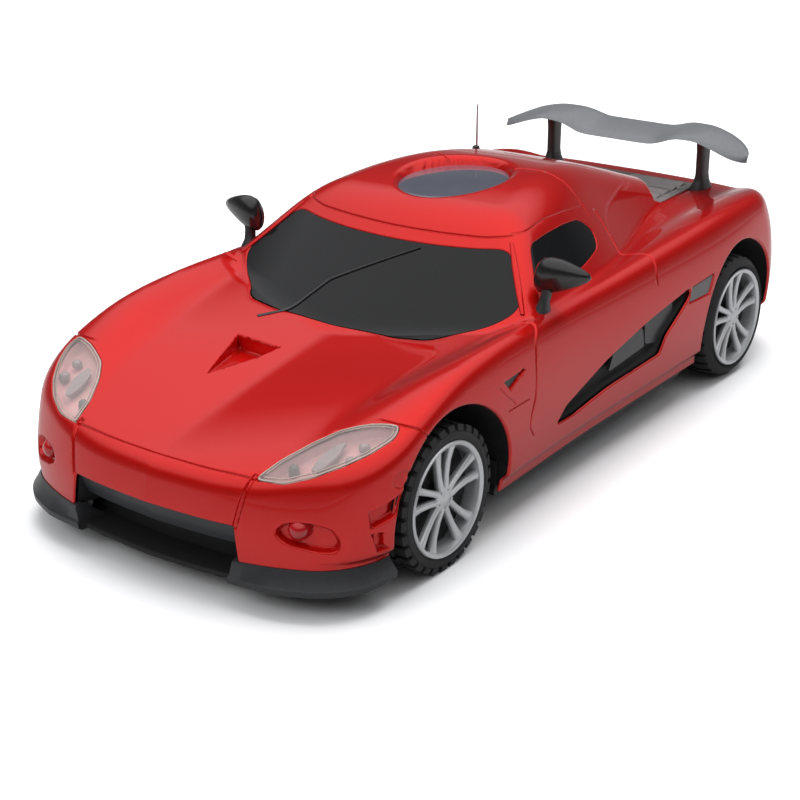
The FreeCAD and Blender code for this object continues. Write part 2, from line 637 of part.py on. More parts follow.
def build_wheels():
    for axle, end, width, bore in ((-1, "front", size("front_width"), 1.55),
                                   (1, "rear", size("rear_width"), 1.51)):
        for side, hand in ((1, "left"), (-1, "right")):
            build_rim(f"rim_{end}_{hand}", axle, side, width, bore)
            build_tyre(f"tyre_{end}_{hand}", axle, side, width)


# ---------------------------------------------------------------- gears
PRESSURE_ANGLE = math.radians(20)
BACKLASH = 0.12


def involute(angle):
    return math.tan(angle) - angle


def gear_outline(teeth, module, addendum, tooth_at):
    """Corner points of an involute gear about the origin, with one tooth centred on the angle tooth_at."""
    pitch = module * teeth / 2
    base, tip, root = pitch * math.cos(PRESSURE_ANGLE), pitch + addendum * module, pitch - 1.25 * module
    half_tooth = math.pi / (2 * teeth) - BACKLASH / (4 * pitch) + involute(PRESSURE_ANGLE)
    start = max(base, root) + 0.001
    flank = []
    for i in range(5):
        radius = start + (tip - start) * i / 4
        flank.append((radius, half_tooth - involute(math.acos(base / radius))))
    if root < base:
        flank.insert(0, (root, flank[0][1]))
    points = []
    for k in range(teeth):
        mid = tooth_at + 2 * math.pi * k / teeth
        points += [(r * math.cos(mid - a), r * math.sin(mid - a)) for r, a in flank]
        points += [(r * math.cos(mid + a), r * math.sin(mid + a)) for r, a in reversed(flank)]
    return points


def gear_solid(teeth, addendum, tooth_at, low, high, centre, axis="X"):
    outline = gear_outline(teeth, size("tooth_module"), addendum, tooth_at)
    if axis == "X":
        corners = [V(low, centre[0] + a, centre[1] + b) for a, b in outline]
        along = V(high - low, 0, 0)
    else:
        corners = [V(centre[0] + a, centre[1] + b, low) for a, b in outline]
        along = V(0, 0, high - low)
    return Part.Face(Part.makePolygon(corners + corners[:1])).extrude(along)


def round_solid(radius, low, high, centre, axis="X"):
    if axis == "X":
        return Part.makeCylinder(radius, high - low, V(low, centre[0], centre[1]), V(1, 0, 0))
    return Part.makeCylinder(radius, high - low, V(centre[0], centre[1], low), V(0, 0, 1))


def gear_centres():
    """Axle, idler and motor centres in the YZ plane, and the directions between them."""
    module = size("tooth_module")
    pinion, idler, axle = size("pinion_teeth"), size("idler_teeth"), size("axle_teeth")
    to_idler, to_motor = math.radians(160), math.radians(190)
    first, second = module * (axle + pinion) / 2, module * (idler + pinion) / 2
    at_axle = (size("wheelbase") / 2, size("tyre_radius"))
    at_idler = (at_axle[0] + first * math.cos(to_idler), at_axle[1] + first * math.sin(to_idler))
    at_motor = (at_idler[0] + second * math.cos(to_motor), at_idler[1] + second * math.sin(to_motor))
    return at_axle, at_idler, at_motor, to_idler, to_motor


NEAR_LOW, NEAR_HIGH, FAR_LOW, FAR_HIGH = 15.0, 18.0, 18.8, 21.3
BOX_LOW, BOX_HIGH = 13.3, 23.0


def build_drive():
    at_axle, at_idler, at_motor, to_idler, to_motor = gear_centres()
    pinion, idler, axle = (int(size(n)) for n in ("pinion_teeth", "idler_teeth", "axle_teeth"))
    axle_radius = size("axle_radius")
    driven = gear_solid(axle, 0.8, to_idler, NEAR_LOW, NEAR_HIGH, at_axle)
    feature("axle_gear", driven.cut(round_solid(axle_radius + 0.01, 0, 40, at_axle)))
    facing = to_idler + math.pi + math.pi / pinion
    small = gear_solid(pinion, 1.0, facing, NEAR_LOW, FAR_LOW + 0.2, at_idler)
    large = gear_solid(idler, 0.8, to_motor, FAR_LOW, FAR_HIGH, at_idler)
    feature("idler_gear", small.fuse(large).cut(round_solid(1.05, 0, 40, at_idler)).removeSplitter())
    facing = to_motor + math.pi + math.pi / pinion
    drive = gear_solid(pinion, 1.0, facing, FAR_LOW, FAR_HIGH, at_motor)
    feature("motor_pinion", drive.fuse(round_solid(0.95, -11.5, FAR_HIGH + 0.3, at_motor)).removeSplitter())
    my, mz = f"{at_motor[0]:.4f}", f"{at_motor[1]:.4f}"
    can = rod("can", "motor_radius", "motor_length", ("-12", my, mz), "X")
    flats = box("flats", "60", "40", "motor_flat", ("-30", my + " - 20", mz + " - motor_flat / 2"))
    cap = rod("cap", "5", "1.6", ("-13.6", my, mz), "X")
    bore = rod("motor_bore", "1", "30", ("-12", my, mz), "X")
    cut("drive_motor", fuse("motor_solid", common("can_with_flats", can, flats), cap), bore)
    reach_x = "face_x - 3.2"
    rod("rear_axle", "axle_radius", f"2 * ({reach_x})", (f"-({reach_x})", "wheelbase / 2", "tyre_radius"),
        "X")
    group("axle_bushes",
          *[cut("bush", rod("bush_solid", "2.55", "2.4", (x, "wheelbase / 2", "tyre_radius"), "X"),
                               rod("bush_bore", "axle_radius + running_gap", "4",
                                   (x + " - 0.5", "wheelbase / 2", "tyre_radius"), "X"))
                           for x in ("28.8", "-31.2")])
    build_gearbox(at_axle, at_idler, at_motor)


def build_gearbox(at_axle, at_idler, at_motor):
    split = size("tyre_radius")
    outer = dict(y=(at_motor[0] - 6, at_axle[0] + 9), z=(10.1, at_idler[1] + 9.5))
    wall = 0.9

    def block(label, low_z, high_z, grow):
        return box(label, f"{BOX_HIGH - BOX_LOW + 2 * grow}", f"{outer['y'][1] - outer['y'][0] + 2 * grow}",
                   f"{high_z - low_z}",
                   (f"{BOX_LOW - grow}", f"{outer['y'][0] - grow}", f"{low_z}"))

    def holes(label):
        y, z = f"{at_axle[0]}", f"{at_axle[1]}"
        shaft = rod(label + "_axle_hole", "1.8", "14", ("12", y, z), "X")
        motor = rod(label + "_shaft_hole", "1.7", "5", ("11", f"{at_motor[0]:.4f}", f"{at_motor[1]:.4f}"),
                    "X")
        return shaft, motor

    low, high = outer["z"]
    hollow = block("case_hollow", low + 0.7, split, -wall)
    cut("gearbox_case", block("case_block", low, split - 0.05, 0), hollow, *holes("case"))
    hollow = block("cover_hollow", split - 1, high - wall, -wall)
    lid = cut("cover_solid", block("cover_block", split + 0.05, high, 0), hollow, *holes("cover"))
    pin = rod("idler_pin", "1", f"{BOX_HIGH - BOX_LOW - 0.6}",
              (f"{BOX_LOW + 0.3}", f"{at_idler[0]:.4f}", f"{at_idler[1]:.4f}"), "X")
    fuse("gearbox_cover", lid, pin)


# ---------------------------------------------------------------- steering
RACK_PITCH_LINE = -64.0
RACK_TEETH_HALF = 8


def rack_outline(module):
    """Plan of the rack bar: straight front edge, trapezoid teeth facing the pinion behind it."""
    pitch = math.pi * module
    top, root = RACK_PITCH_LINE + 0.7 * module, RACK_PITCH_LINE - 1.25 * module
    narrow = pitch / 4 - BACKLASH / 4 - 0.7 * module * math.tan(PRESSURE_ANGLE)
    wide = pitch / 4 - BACKLASH / 4 + 1.25 * module * math.tan(PRESSURE_ANGLE)
    points = []
    for k in range(-RACK_TEETH_HALF // 2, RACK_TEETH_HALF // 2 + 1):
        mid = k * pitch
        points += [(mid - wide, root), (mid - narrow, top), (mid + narrow, top), (mid + wide, root)]
    return points, root


def build_steering():
    arm, pin_x = size("steer_arm"), size("kingpin_x")
    axle_y = -size("wheelbase") / 2
    pin_y = axle_y + arm
    low, high = size("rack_bottom"), size("rack_bottom") + size("rack_thick")
    teeth, root = rack_outline(size("tooth_module"))
    bar_end, half_bar = pin_x + 2.6, 2.3
    outline = [(-bar_end, root - 4), (bar_end, root - 4), (bar_end, root), *reversed(teeth),
               (-bar_end, root)]
    outline = [(a, pin_y - half_bar if b == root - 4 else b) for a, b in outline]
    bar = Part.Face(Part.makePolygon([V(a, b, low) for a, b in outline + outline[:1]])).extrude(V(0, 0,
                                                                                                  high - low))
    for side in (-1, 1):
        for step in (-0.5, 0, 0.5):
            bar = bar.cut(Part.makeCylinder(1.15, 6, V(side * pin_x, pin_y + step, low - 2)))
    peg = Part.makeCylinder(1.0, 4.0, V(0, pin_y - 0.5, low - 4))
    feature("steering_rack", bar.fuse(peg).removeSplitter())
    pinion_y = RACK_PITCH_LINE + size("tooth_module") * size("pinion_teeth") / 2
    count = int(size("pinion_teeth"))
    wheel = gear_solid(count, 1.0, math.radians(-90) + math.pi / count, low - 0.2, high + 0.2,
                       (0, pinion_y), "Z")
    feature("steering_pinion", wheel.fuse(round_solid(0.75, low - 1.2, high + 11, (0, pinion_y),
                                                      "Z")).removeSplitter())
    py = f"{pinion_y}"
    cut("steering_motor", rod("steer_can", "6", "10.4", ("0", py, "26.2")),
        rod("steer_bore", "0.8", "9.4", ("0", py, "26")))

    block = rod("knuckle_block", "knuckle_radius", "knuckle_tall",
                ("kingpin_x", "-wheelbase / 2", "tyre_radius - knuckle_tall / 2"))
    pins = rod("knuckle_pins", "kingpin_radius", "knuckle_tall + 4.4",
               ("kingpin_x", "-wheelbase / 2", "tyre_radius - knuckle_tall / 2 - 2.2"))
    stub = rod("stub_axle", "stub_radius", "face_x - kingpin_x - 3.2",
               ("kingpin_x", "-wheelbase / 2", "tyre_radius"), "X")
    arm_plate = box("arm_plate", "3.6", "steer_arm + 1.4", "1.4",
                    ("kingpin_x - 1.8", "-wheelbase / 2", "tyre_radius + knuckle_tall / 2 - 1.4"))
    arm_pin = rod("arm_pin", "1", "2.6", ("kingpin_x", "-wheelbase / 2 + steer_arm",
                                          "tyre_radius + knuckle_tall / 2 - 0.4"))
    mirrored("knuckle_right", fuse("knuckle_left", block, pins, stub, arm_plate, arm_pin))

    beam = slab("beam", "kingpin_x + 2.6", "-wheelbase / 2 - 3", "-wheelbase / 2 + 3", "22.4", "24.4")
    shelf = slab("shelf", "16", "-wheelbase / 2 - 3", "-53.5", "24.4", "26")
    sockets = [rod("pin_socket", "kingpin_radius + running_gap", "8",
                   (f"{s} * kingpin_x", "-wheelbase / 2", "20")) for s in (-1, 1)]
    sockets += [rod("cover_screw_hole", "1.2", "8", (f"{x}", "-wheelbase / 2", "20")) for x in (-22, 22)]
    cut("steering_cover", fuse("cover_plate_solid", beam, shelf),
        rod("shaft_hole", "1", "6", ("0", py, "22")), *sockets)

    lever = [rod("trim_disc", "4", "2", ("0", "-84", "10.2")),
             rod("trim_hub", "2.4", "4", ("0", "-84", "7.2")),
             rod("trim_post", "1.5", "8", ("0", "-84", "12")),
             slab("trim_finger", "1.4", "-84", "-76", "7", "8.2")]
    fuse("trim_lever", *lever)
    wire_radius, coil_radius = 0.35, 2.4
    coils = [Part.makeTorus(coil_radius, wire_radius, V(0, -84, 13 + i * 1.6 * wire_radius))
             for i in range(8)]
    height = 13 + 7 * 1.6 * wire_radius
    legs = [Part.makeCylinder(wire_radius, math.hypot(3.2, 19), V(s * coil_radius, -84, height),
                              V(s * 3.2, 19, 0)) for s in (-1, 1)]
    feature("centring_spring", coils[0].fuse(coils[1:] + legs).removeSplitter())


# ---------------------------------------------------------------- chassis, power and electronics
def build_chassis():
    front_y = "-wheelbase / 2"
    solids = [
        slab("nose_floor", "29", "-108", "-49", "floor_bottom", "floor_bottom + floor_thick"),
        slab("mid_floor", "51.5", "-49.5", "46", "floor_bottom", "floor_bottom + floor_thick"),
        slab("tail_floor", "36.5", "45", "110", "floor_bottom", "floor_bottom + floor_thick"),
        slab("plinth_pad", "20", "-46", "-28", "floor_bottom - 0.5", "floor_bottom + 0.1"),
        slab("bay_walls", "bay_half + wall", "bay_front - wall", "bay_back + wall", "floor_bottom",
             "bay_top + wall"),
        slab("front_sill", "29", front_y + " - 3", front_y + " + 3", "floor_bottom", "14"),
        slab("front_arms", "kingpin_x + 2.6", front_y + " - 3", front_y + " + 3", "11.9", "14"),
    ]
    for s in (-1, 1):
        solids.append(slab("sill_rail", "1", "-49", "45.5", "floor_bottom", "17.5", f"{s} * 50.5"))
        solids.append(slab("bay_liner", "0.8", "-107.5", "-82", "floor_bottom", "26", f"{s} * 28.2"))
        solids.append(slab("rear_liner", "0.8", "50", "69", "floor_bottom", "36", f"{s} * 35.7"))
        solids.append(slab("rear_liner", "0.8", "79", "107", "floor_bottom", "36", f"{s} * 35.7"))
        solids.append(slab("axle_post", "1.1", "69.5", "78.5", "floor_bottom", "24", f"{s} * 30"))
        solids.append(rod("beam_post", "2.6", "12.3", (f"{s} * 22", front_y, "10")))
        for y in (-47, -28):
            solids.append(rod("board_post", "1.5", "5", (f"{s} * 20", f"{y}", "8.6")))
    solids.append(rod("motor_cradle_front", "2", "2", ("-4", "50", "9.5")))
    cuts = [
        slab("bay_hollow", "bay_half", "bay_front", "bay_back", "floor_bottom - 1", "bay_top"),
        slab("switch_slot", "2.2", "5.4", "14.6", "8", "11", "-40"),
        rod("trim_hole", "2.6", "6", ("0", "-84", "7")),
    ]
    for s in (-1, 1):
        cuts.append(rod("pin_hole", "kingpin_radius + running_gap", "6",
                        (f"{s} * kingpin_x", front_y, "10")))
        cuts.append(rod("bush_seat", "2.6", "6", (f"{s} * 30 - 3", "wheelbase / 2", "tyre_radius"), "X"))
        cuts.append(rod("beam_pilot", "0.85", "8", (f"{s} * 22", front_y, "15")))
        cuts.append(rod("splitter_hole", "1.25", "6", (f"{s} * 12", "-105.5", "7")))
        cuts.append(rod("nose_screw_hole", "1.3", "6", (f"{s} * 22", "-98", "7")))
        cuts.append(rod("nose_screw_seat", "2.4", "0.9", (f"{s} * 22", "-98", "floor_bottom")))
        cuts.append(rod("tail_screw_hole", "1.3", "6", (f"{s} * 30", "104", "7")))
        cuts.append(rod("tail_screw_seat", "2.4", "0.9", (f"{s} * 30", "104", "floor_bottom")))
    cut("chassis_tub", fuse("tub_solid", *solids), *cuts)

    screws = []
    for x, y in [(s * x, y) for x, y in BODY_SCREWS for s in (-1, 1)]:
        head = rod("screw_head", "2.2", "0.8", (f"{x}", f"{y}", "8.55"))
        slot = slab("screw_slot", "1.8", f"{y} - 0.25", f"{y} + 0.25", "8.5", "8.9", f"{x}")
        screws.append(cut("screw", fuse("screw_solid", head,
                                        rod("screw_shank", "1.1", "10", (f"{x}", f"{y}", "9")),
                                        cone("screw_point", "1.1", "0.3", "1.6", (f"{x}", f"{y}", "19"))),
                                        slot))
    group("body_screws", *screws)
    screws = []
    for x in (-22, 22):
        head = rod("small_head", "1.9", "1", (f"{x}", front_y, "24.45"))
        slot = slab("small_slot", "1.5", front_y + " - 0.2", front_y + " + 0.2", "24.95", "26", f"{x}")
        screws.append(cut("small_screw", fuse("small_solid", head,
                                              rod("small_shank", "0.8", "8", (f"{x}", front_y, "16.6"))),
                                              slot))
    group("cover_screws", *screws)


def build_power():
    plate = slab("door_plate", "bay_half - 0.25", "bay_front + 0.25", "bay_back - 0.25", "floor_bottom",
                 "floor_bottom + 1.4")
    tabs = [slab("door_grip", "6", f"{y}", f"{y} + 0.8", "floor_bottom - 0.5", "floor_bottom + 0.2")
            for y in (30, 32.4, 34.8)]
    fuse("battery_door", plate, *tabs)
    cells, contacts = [], []
    for i in range(4):
        y = f"bay_front + 8.5 + {i} * cell_pitch"
        z = "bay_top - cell_radius - 0.1"
        can = rod("cell_can", "cell_radius", "cell_length - 1.2", ("-cell_length / 2", y, z), "X")
        nub = rod("cell_nub", "2.7", "cell_length", ("-cell_length / 2", y, z), "X")
        cells.append(fuse("cell", can, nub))
        for x in ("-bay_half + 0.05", "bay_half - 0.45"):
            contacts.append(box("contact", "0.4", "9", "9", (x, y + " - 4.5", z + " - 4.5")))
    group("battery_cells", *cells)
    group("battery_contacts", *contacts)
    cavity = slab("switch_cavity", "2.7", "4.2", "18.2", "9", "13.2", "-40")
    cut("power_switch", slab("switch_block", "4.6", "2", "20.4", "10.1", "15.4", "-40"), cavity)
    fuse("switch_slider", slab("slider_block", "2.4", "4.8", "10.2", "10.4", "12.8", "-40"),
         slab("slider_knob", "1.7", "6", "9", "7.4", "10.6", "-40"))
    slab("circuit_board", "23", "-49", "-25.5", "13.65", "14.85")
    parts = [slab("chip", "4.5", "-42", "-36", "14.9", "16.6", "2"),
             slab("crystal", "2.4", "-33", "-30", "14.9", "18", "-12"),
             slab("connector", "3.5", "-47.5", "-44", "14.9", "18.5", "-14")]
    parts += [rod("capacitor", "2.2", "6", (f"{x}", f"{y}", "14.9"))
              for x, y in ((15, -44), (15, -37.5), (-6, -45))]
    parts += [rod("coil", "1.8", "5", (f"{x}", "-30", "14.9")) for x in (-3, 3)]
    group("board_parts", *parts)


def build_cabin():
    floor = slab("cabin_floor", "36", "-32", "26", "28", "29.5")
    dash = slab("dash", "36", "-34", "-24", "28", "42.5")
    hood = slab("dash_hood", "9", "-27", "-20", "36", "44.5", "17")
    tunnel = slab("tunnel", "4", "-26", "24", "29", "34")
    solids = [floor, dash, hood, tunnel]
    for x in (-18, 18):
        solids.append(slab("seat_cushion", "10", "-14", "6", "29", "34.5", f"{x}"))
        back = slab("seat_back", "9", "4", "10", "30", "53", f"{x}")
        solids.append(back)
    fuse("cabin_tray", *solids)


# ---------------------------------------------------------------- build, check, export
NODES = """
body_shell windscreen side_window_left side_window_right roof_panel engine_cover headlight_lens_left
headlight_lens_right headlight_bowl_left headlight_bowl_right headlight_leds fog_lamps front_grille
front_splitter side_intake_left side_intake_right wing_blade wing_posts mirror_left mirror_right
tail_lamps rear_grille rear_diffuser antenna_whip antenna_socket cabin_tray chassis_tub battery_door
battery_cells battery_contacts power_switch switch_slider circuit_board board_parts drive_motor
motor_pinion idler_gear axle_gear rear_axle gearbox_case gearbox_cover axle_bushes steering_motor
steering_pinion steering_rack knuckle_left knuckle_right steering_cover trim_lever centring_spring
rim_front_left rim_front_right rim_rear_left rim_rear_right tyre_front_left tyre_front_right
tyre_rear_left tyre_rear_right body_screws cover_screws
""".split()


def export_all():
    doc.recompute()
    for obj in doc.Objects:
        if {"Invalid", "Error"} & set(obj.State):
            raise RuntimeError(f"{obj.Label} did not compute: {obj.State}")
    shapes = {}
    for node in NODES:
        shape = doc.getObjectsByLabel(node)[0].Shape
        if shape.isNull() or not shape.isValid() or not shape.Solids:
            raise RuntimeError(f"{node} has no sound shape")
        shapes[node] = shape
    os.makedirs("parts", exist_ok=True)
    for node, shape in shapes.items():
        shape.exportStep(f"parts/{node}.step")


build_body()
build_lamps()
build_trim()
build_wing()
build_mirrors()
build_antenna()
build_wheels()
build_drive()
build_steering()
build_chassis()
build_power()
build_cabin()
export_all()
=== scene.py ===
import math

import bpy
import numpy as np
from mathutils import Matrix, Vector


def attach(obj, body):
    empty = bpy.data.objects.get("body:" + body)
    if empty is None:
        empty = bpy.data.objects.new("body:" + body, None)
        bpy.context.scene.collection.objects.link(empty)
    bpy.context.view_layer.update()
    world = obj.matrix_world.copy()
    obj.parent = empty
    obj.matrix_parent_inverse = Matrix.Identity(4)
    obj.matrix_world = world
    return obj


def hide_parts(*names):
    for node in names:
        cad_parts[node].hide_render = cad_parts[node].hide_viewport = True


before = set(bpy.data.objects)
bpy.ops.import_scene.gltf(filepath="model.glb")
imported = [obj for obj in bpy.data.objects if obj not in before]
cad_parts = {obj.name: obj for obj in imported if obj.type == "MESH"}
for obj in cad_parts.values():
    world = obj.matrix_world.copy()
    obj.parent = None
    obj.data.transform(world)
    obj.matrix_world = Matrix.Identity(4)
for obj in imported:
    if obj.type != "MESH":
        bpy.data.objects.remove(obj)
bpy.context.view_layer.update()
MM = 0.001


# ---------------- the body as one smooth field, in millimetres
# Knots are (place, value). The crest, valley-depth, side, roof and cabin knots began as a least-squares
# fit to the silhouette and were rounded and adjusted after it; the rest were set one by one.
HOOD_MIDDLE = [(-125, 28), (-113, 31.3), (-90, 35), (-60, 39.2), (-48, 41), (-20, 46), (20, 49), (60, 47),
               (125, 45)]
CREST_HEIGHT = [(-125, 26), (-113, 31.8), (-100, 38), (-88, 43.2), (-70, 49.2), (-45, 51.2), (-20, 50.8),
                (10, 50.6), (40, 51.2), (70, 52), (100, 50.8), (125, 47.5)]
CREST_OUT = [(-125, 34), (-113, 38), (-95, 44.8), (-70, 47.2), (-40, 46.9), (0, 46.3), (80, 45.5),
             (110, 43), (125, 41)]
VALLEY_OUT = [(-125, 27), (-113, 28.5), (-80, 33.5), (-45, 40), (-20, 42), (40, 36), (80, 34), (125, 34)]
VALLEY_DEPTH = [(-125, 0), (-113, 0.2), (-95, 3), (-70, 6.8), (-45, 6.6), (-20, 4.2), (80, 4.6), (125, 3)]
SIDE_OUT = [(-125, 54), (-100, 55.8), (-74, 57.2), (-45, 56.3), (-10, 55), (30, 55.6), (74, 56), (100, 54),
            (125, 49)]
SIDE_LEAN = [(0, -3), (12, -1.2), (24, 0), (38, -0.3), (46, -2.2), (56, -7.5)]
NOSE_PLAN = [(0, 0), (20, 0.9), (32, 3.5), (44, 8), (54, 15)]
NOSE_LEAN = [(0, 1.5), (8, 0), (20, 0.5), (32, 3.6), (44, 9)]
TAIL_PLAN = [(0, 0), (25, 1), (40, 4), (54, 12)]
TAIL_LEAN = [(0, 4), (14, 1), (28, 0), (44, 2.5), (56, 8)]
ROOF_HEIGHT = [(-60, 54), (-30, 63.6), (-14, 67.2), (5, 69.9), (25, 70.1), (45, 66.4), (65, 59.4), (85, 52),
               (100, 46.5), (125, 38)]
CABIN_OUT = [(-60, 49), (-30, 49), (-10, 47.8), (10, 45.4), (25, 41.4), (45, 34), (65, 27.8), (90, 22.5),
             (125, 17)]
SCREEN_FOOT_Y, SCREEN_FOOT_Z, SCREEN_SLOPE, SCREEN_BOW = -48.5, 40.5, 1.32, 230.0
BELT, LEAN_IN, ROOF_CROWN, ROOF_SHOULDER, HALF_LENGTH, CABIN_END = 49.0, 0.84, 0.8, 5.5, 119.5, 100.0
CREST_FALL, CREST_SOFT = -0.36, 3.4
WELL_MIDDLE, WELL_HALF_X, WELL_HALF_Y, WELL_FLOOR = 8.0, 15.4, 18.4, 65.2
DECK_FLOOR, DECK_OUT, DECK_BACK = 46.0, 25.5, 106.0


def ramp(distance, softness):
    """0 before a knot, the distance after it, rounded over the softness."""
    return softness * np.logaddexp(0.0, distance / softness)


def bend(at, knots, softness=4.0):
    """A smooth polyline through the knots."""
    slopes = [(b[1] - a[1]) / (b[0] - a[0]) for a, b in zip(knots, knots[1:])]
    value = knots[0][1] + slopes[0] * (at - knots[0][0])
    for knot, before, after in zip(knots[1:], slopes, slopes[1:]):
        value = value + (after - before) * ramp(at - knot[0], softness)
    return value


def soft_max(a, b, radius):
    lift = np.maximum(radius - np.abs(a - b), 0.0) / radius
    return np.maximum(a, b) + lift * lift * radius * 0.25


def soft_min(a, b, radius):
    return -soft_max(-a, -b, radius)


def deck_height(x, y):
    """Height of the bonnet, wings and rear deck."""
    crest, out, valley = bend(y, CREST_HEIGHT, 5), bend(y, CREST_OUT, 6), bend(y, VALLEY_OUT, 6)
    low = crest - bend(y, VALLEY_DEPTH, 6)
    middle = bend(y, HOOD_MIDDLE, 6)
    inner, outer, fall = (low - middle) / valley, (crest - low) / (out - valley), CREST_FALL
    x = np.sqrt(x * x + 4) - 2
    return middle + inner * x + (outer - inner) * ramp(x - valley, 1.2) + (fall - outer) * ramp(x - out,
                                                                                                CREST_SOFT)


def well_bowl(x, y):
    """Height of the bowl that the roof panel lies in."""
    across = np.hypot(x / WELL_HALF_X, (y - WELL_MIDDLE) / WELL_HALF_Y)
    return WELL_FLOOR + 2.2 * ramp((across - 0.88) * WELL_HALF_X, 0.4)


def body_field(p):
    """Below zero inside the body; close to the distance in millimetres near its surface."""
    x, y, z = np.abs(p[..., 0]), p[..., 1], p[..., 2]
    sill = 1.7 / (1 + np.exp(np.clip((z - 13.6) / 0.3, -30, 30)))
    side = x - bend(y, SIDE_OUT, 8) - bend(z, SIDE_LEAN, 2.5) + sill
    nose = -HALF_LENGTH + bend(x, NOSE_PLAN, 4) + bend(z, NOSE_LEAN, 2)
    tail = HALF_LENGTH - 0.2 - bend(x, TAIL_PLAN, 5) - bend(z, TAIL_LEAN, 3)
    plan = soft_max(soft_max(side, (nose - y) * 0.95, 10.0), (y - tail) * 0.95, 10.0)
    lower = soft_max(plan, (z - deck_height(x, y)) * 0.93, 3.0)
    roof = z - bend(y, ROOF_HEIGHT, 5) + ROOF_CROWN * (x / 26.0) ** 2
    wall = (x - bend(y, CABIN_OUT, 5) + (np.maximum(z, 46.0) - BELT) * LEAN_IN) * 0.73
    screen = (SCREEN_FOOT_Y + x * x / SCREEN_BOW + (z - SCREEN_FOOT_Z) * SCREEN_SLOPE - y) * 0.6
    upper = soft_max(soft_max(roof, wall, ROOF_SHOULDER), screen, 3.0)
    whole = soft_min(lower, np.maximum(upper, y - CABIN_END), 1.5)
    whole = soft_max(whole, (z - well_bowl(x, y)) * 0.32, 1.2)
    edge = 86.0 - 0.75 * ramp(x - 12.0, 1.0)
    deck = np.minimum(np.minimum(z - DECK_FLOOR, y - edge), np.minimum(DECK_OUT - x, DECK_BACK - y))
    return soft_max(whole, deck, 1.0)


def field_slope(field, p, step=0.05):
    """The gradient of a field, by central differences."""
    parts = []
    for axis in range(3):
        shift = np.zeros(3)
        shift[axis] = step
        parts.append((field(p + shift) - field(p - shift)) / (2 * step))
    return np.stack(parts, axis=-1)


def outward_at(p):
    """Unit directions out of the bare body."""
    slope = field_slope(body_field, p)
    return slope / np.linalg.norm(slope, axis=1, keepdims=True)


# ---------------- the skin of the body, ray by ray from a core line
CORE_Z, CORE_Y, CELL, CAP_REACH, TURN_DOWN = 15.0, 88.0, 0.8, 31.5, math.radians(112)
MARCH, MARCH_END, HALVINGS = 3.0, 102.0, 16


def first_exit(start, direction):
    """How far each ray runs before it first leaves the body."""
    inside = np.ones(direction.shape[:-1], dtype=bool)
    low = np.zeros(direction.shape[:-1])
    for distance in np.arange(MARCH, MARCH_END, MARCH):
        inside &= body_field(start + direction * distance) < 0
        low = np.where(inside, distance, low)
    high = low + MARCH
    for _ in range(HALVINGS):
        middle = (low + high) / 2
        within = body_field(start + direction * middle[..., None]) < 0
        low, high = np.where(within, middle, low), np.where(within, high, middle)
    return (low + high) / 2


def half_skin():
    """The left half of the skin (X >= 0) as points and triangles."""
    cap = CAP_REACH * math.pi / 2
    rows = int((2 * CORE_Y + 2 * cap) / CELL)
    columns = int(TURN_DOWN * 50 / CELL)
    along = np.linspace(-cap * 0.985, 2 * CORE_Y + cap * 0.985, rows)
    core_y = np.clip(along, 0, 2 * CORE_Y) - CORE_Y
    tilt = (np.minimum(along, 0) + np.maximum(along - 2 * CORE_Y, 0)) / CAP_REACH
    turn = np.linspace(0, TURN_DOWN, columns)
    tilt, turn = np.meshgrid(tilt, turn, indexing="ij")
    direction = np.stack([np.cos(tilt) * np.sin(turn), np.sin(tilt), np.cos(tilt) * np.cos(turn)], axis=-1)
    start = np.zeros_like(direction)
    start[..., 1] = core_y[:, None]
    start[..., 2] = CORE_Z
    points = start + direction * first_exit(start, direction)[..., None]
    index = np.arange(rows * columns).reshape(rows, columns)
    a, b, c, d = index[:-1, :-1].ravel(), index[:-1, 1:].ravel(), index[1:, 1:].ravel(), index[1:,
                                                                                               :-1].ravel()
    return points.reshape(-1, 3), np.concatenate([np.stack([a, b, c], 1), np.stack([a, c, d], 1)])


def slice_at(points, faces, value, loose=True):
    """Splits the triangles along the line where value is zero."""
    value = np.where(np.abs(value) < 0.015, 0.0, value)
    edges = np.sort(np.concatenate([faces[:, [0, 1]], faces[:, [1, 2]], faces[:, [2, 0]]]),
                    axis=1).astype(np.int64)
    keys, where = np.unique(edges[:, 0] * len(points) + edges[:, 1], return_inverse=True)
    a, b = keys // len(points), keys % len(points)
    crossed = value[a] * value[b] < 0
    if not loose:
        length = np.linalg.norm(points[a] - points[b], axis=1)
        crossed &= np.abs(value[a]) + np.abs(value[b]) < 1.2 * length
    share = np.where(crossed, value[a] / np.where(crossed, value[a] - value[b], 1.0), 0.0)[:, None]
    fresh = (points[a] * (1 - share) + points[b] * share)[crossed]
    number = np.full(len(keys), -1)
    number[crossed] = len(points) + np.arange(crossed.sum())
    cut = number[where].reshape(3, -1).T
    count = (cut >= 0).sum(1)
    parts = [faces[count == 0]]
    for edge in range(3):
        order = [edge, (edge + 1) % 3, (edge + 2) % 3]
        rows = (count == 1) & (cut[:, edge] >= 0)
        a, b, c = faces[rows][:, order].T
        m = cut[rows, edge]
        parts += [np.stack([a, m, c], 1), np.stack([m, b, c], 1)]
        rows = (count == 2) & (cut[:, edge] < 0)
        a, b, c = faces[rows][:, order].T
        p, q = cut[rows, order[1]], cut[rows, order[2]]
        parts += [np.stack([q, p, c], 1), np.stack([a, b, p], 1), np.stack([a, p, q], 1)]
    rows = count == 3
    a, b, c = faces[rows].T
    p, q, r = cut[rows].T
    parts += [np.stack(t, 1) for t in ((a, p, r), (p, b, q), (q, c, r), (p, q, r))]
    return np.concatenate([points, fresh]), np.concatenate(parts)


def used_only(points, faces, *more):
    """Drops the points that no face uses."""
    keep, where = np.unique(faces, return_inverse=True)
    return (points[keep], where.reshape(faces.shape)) + tuple(m[keep] for m in more)


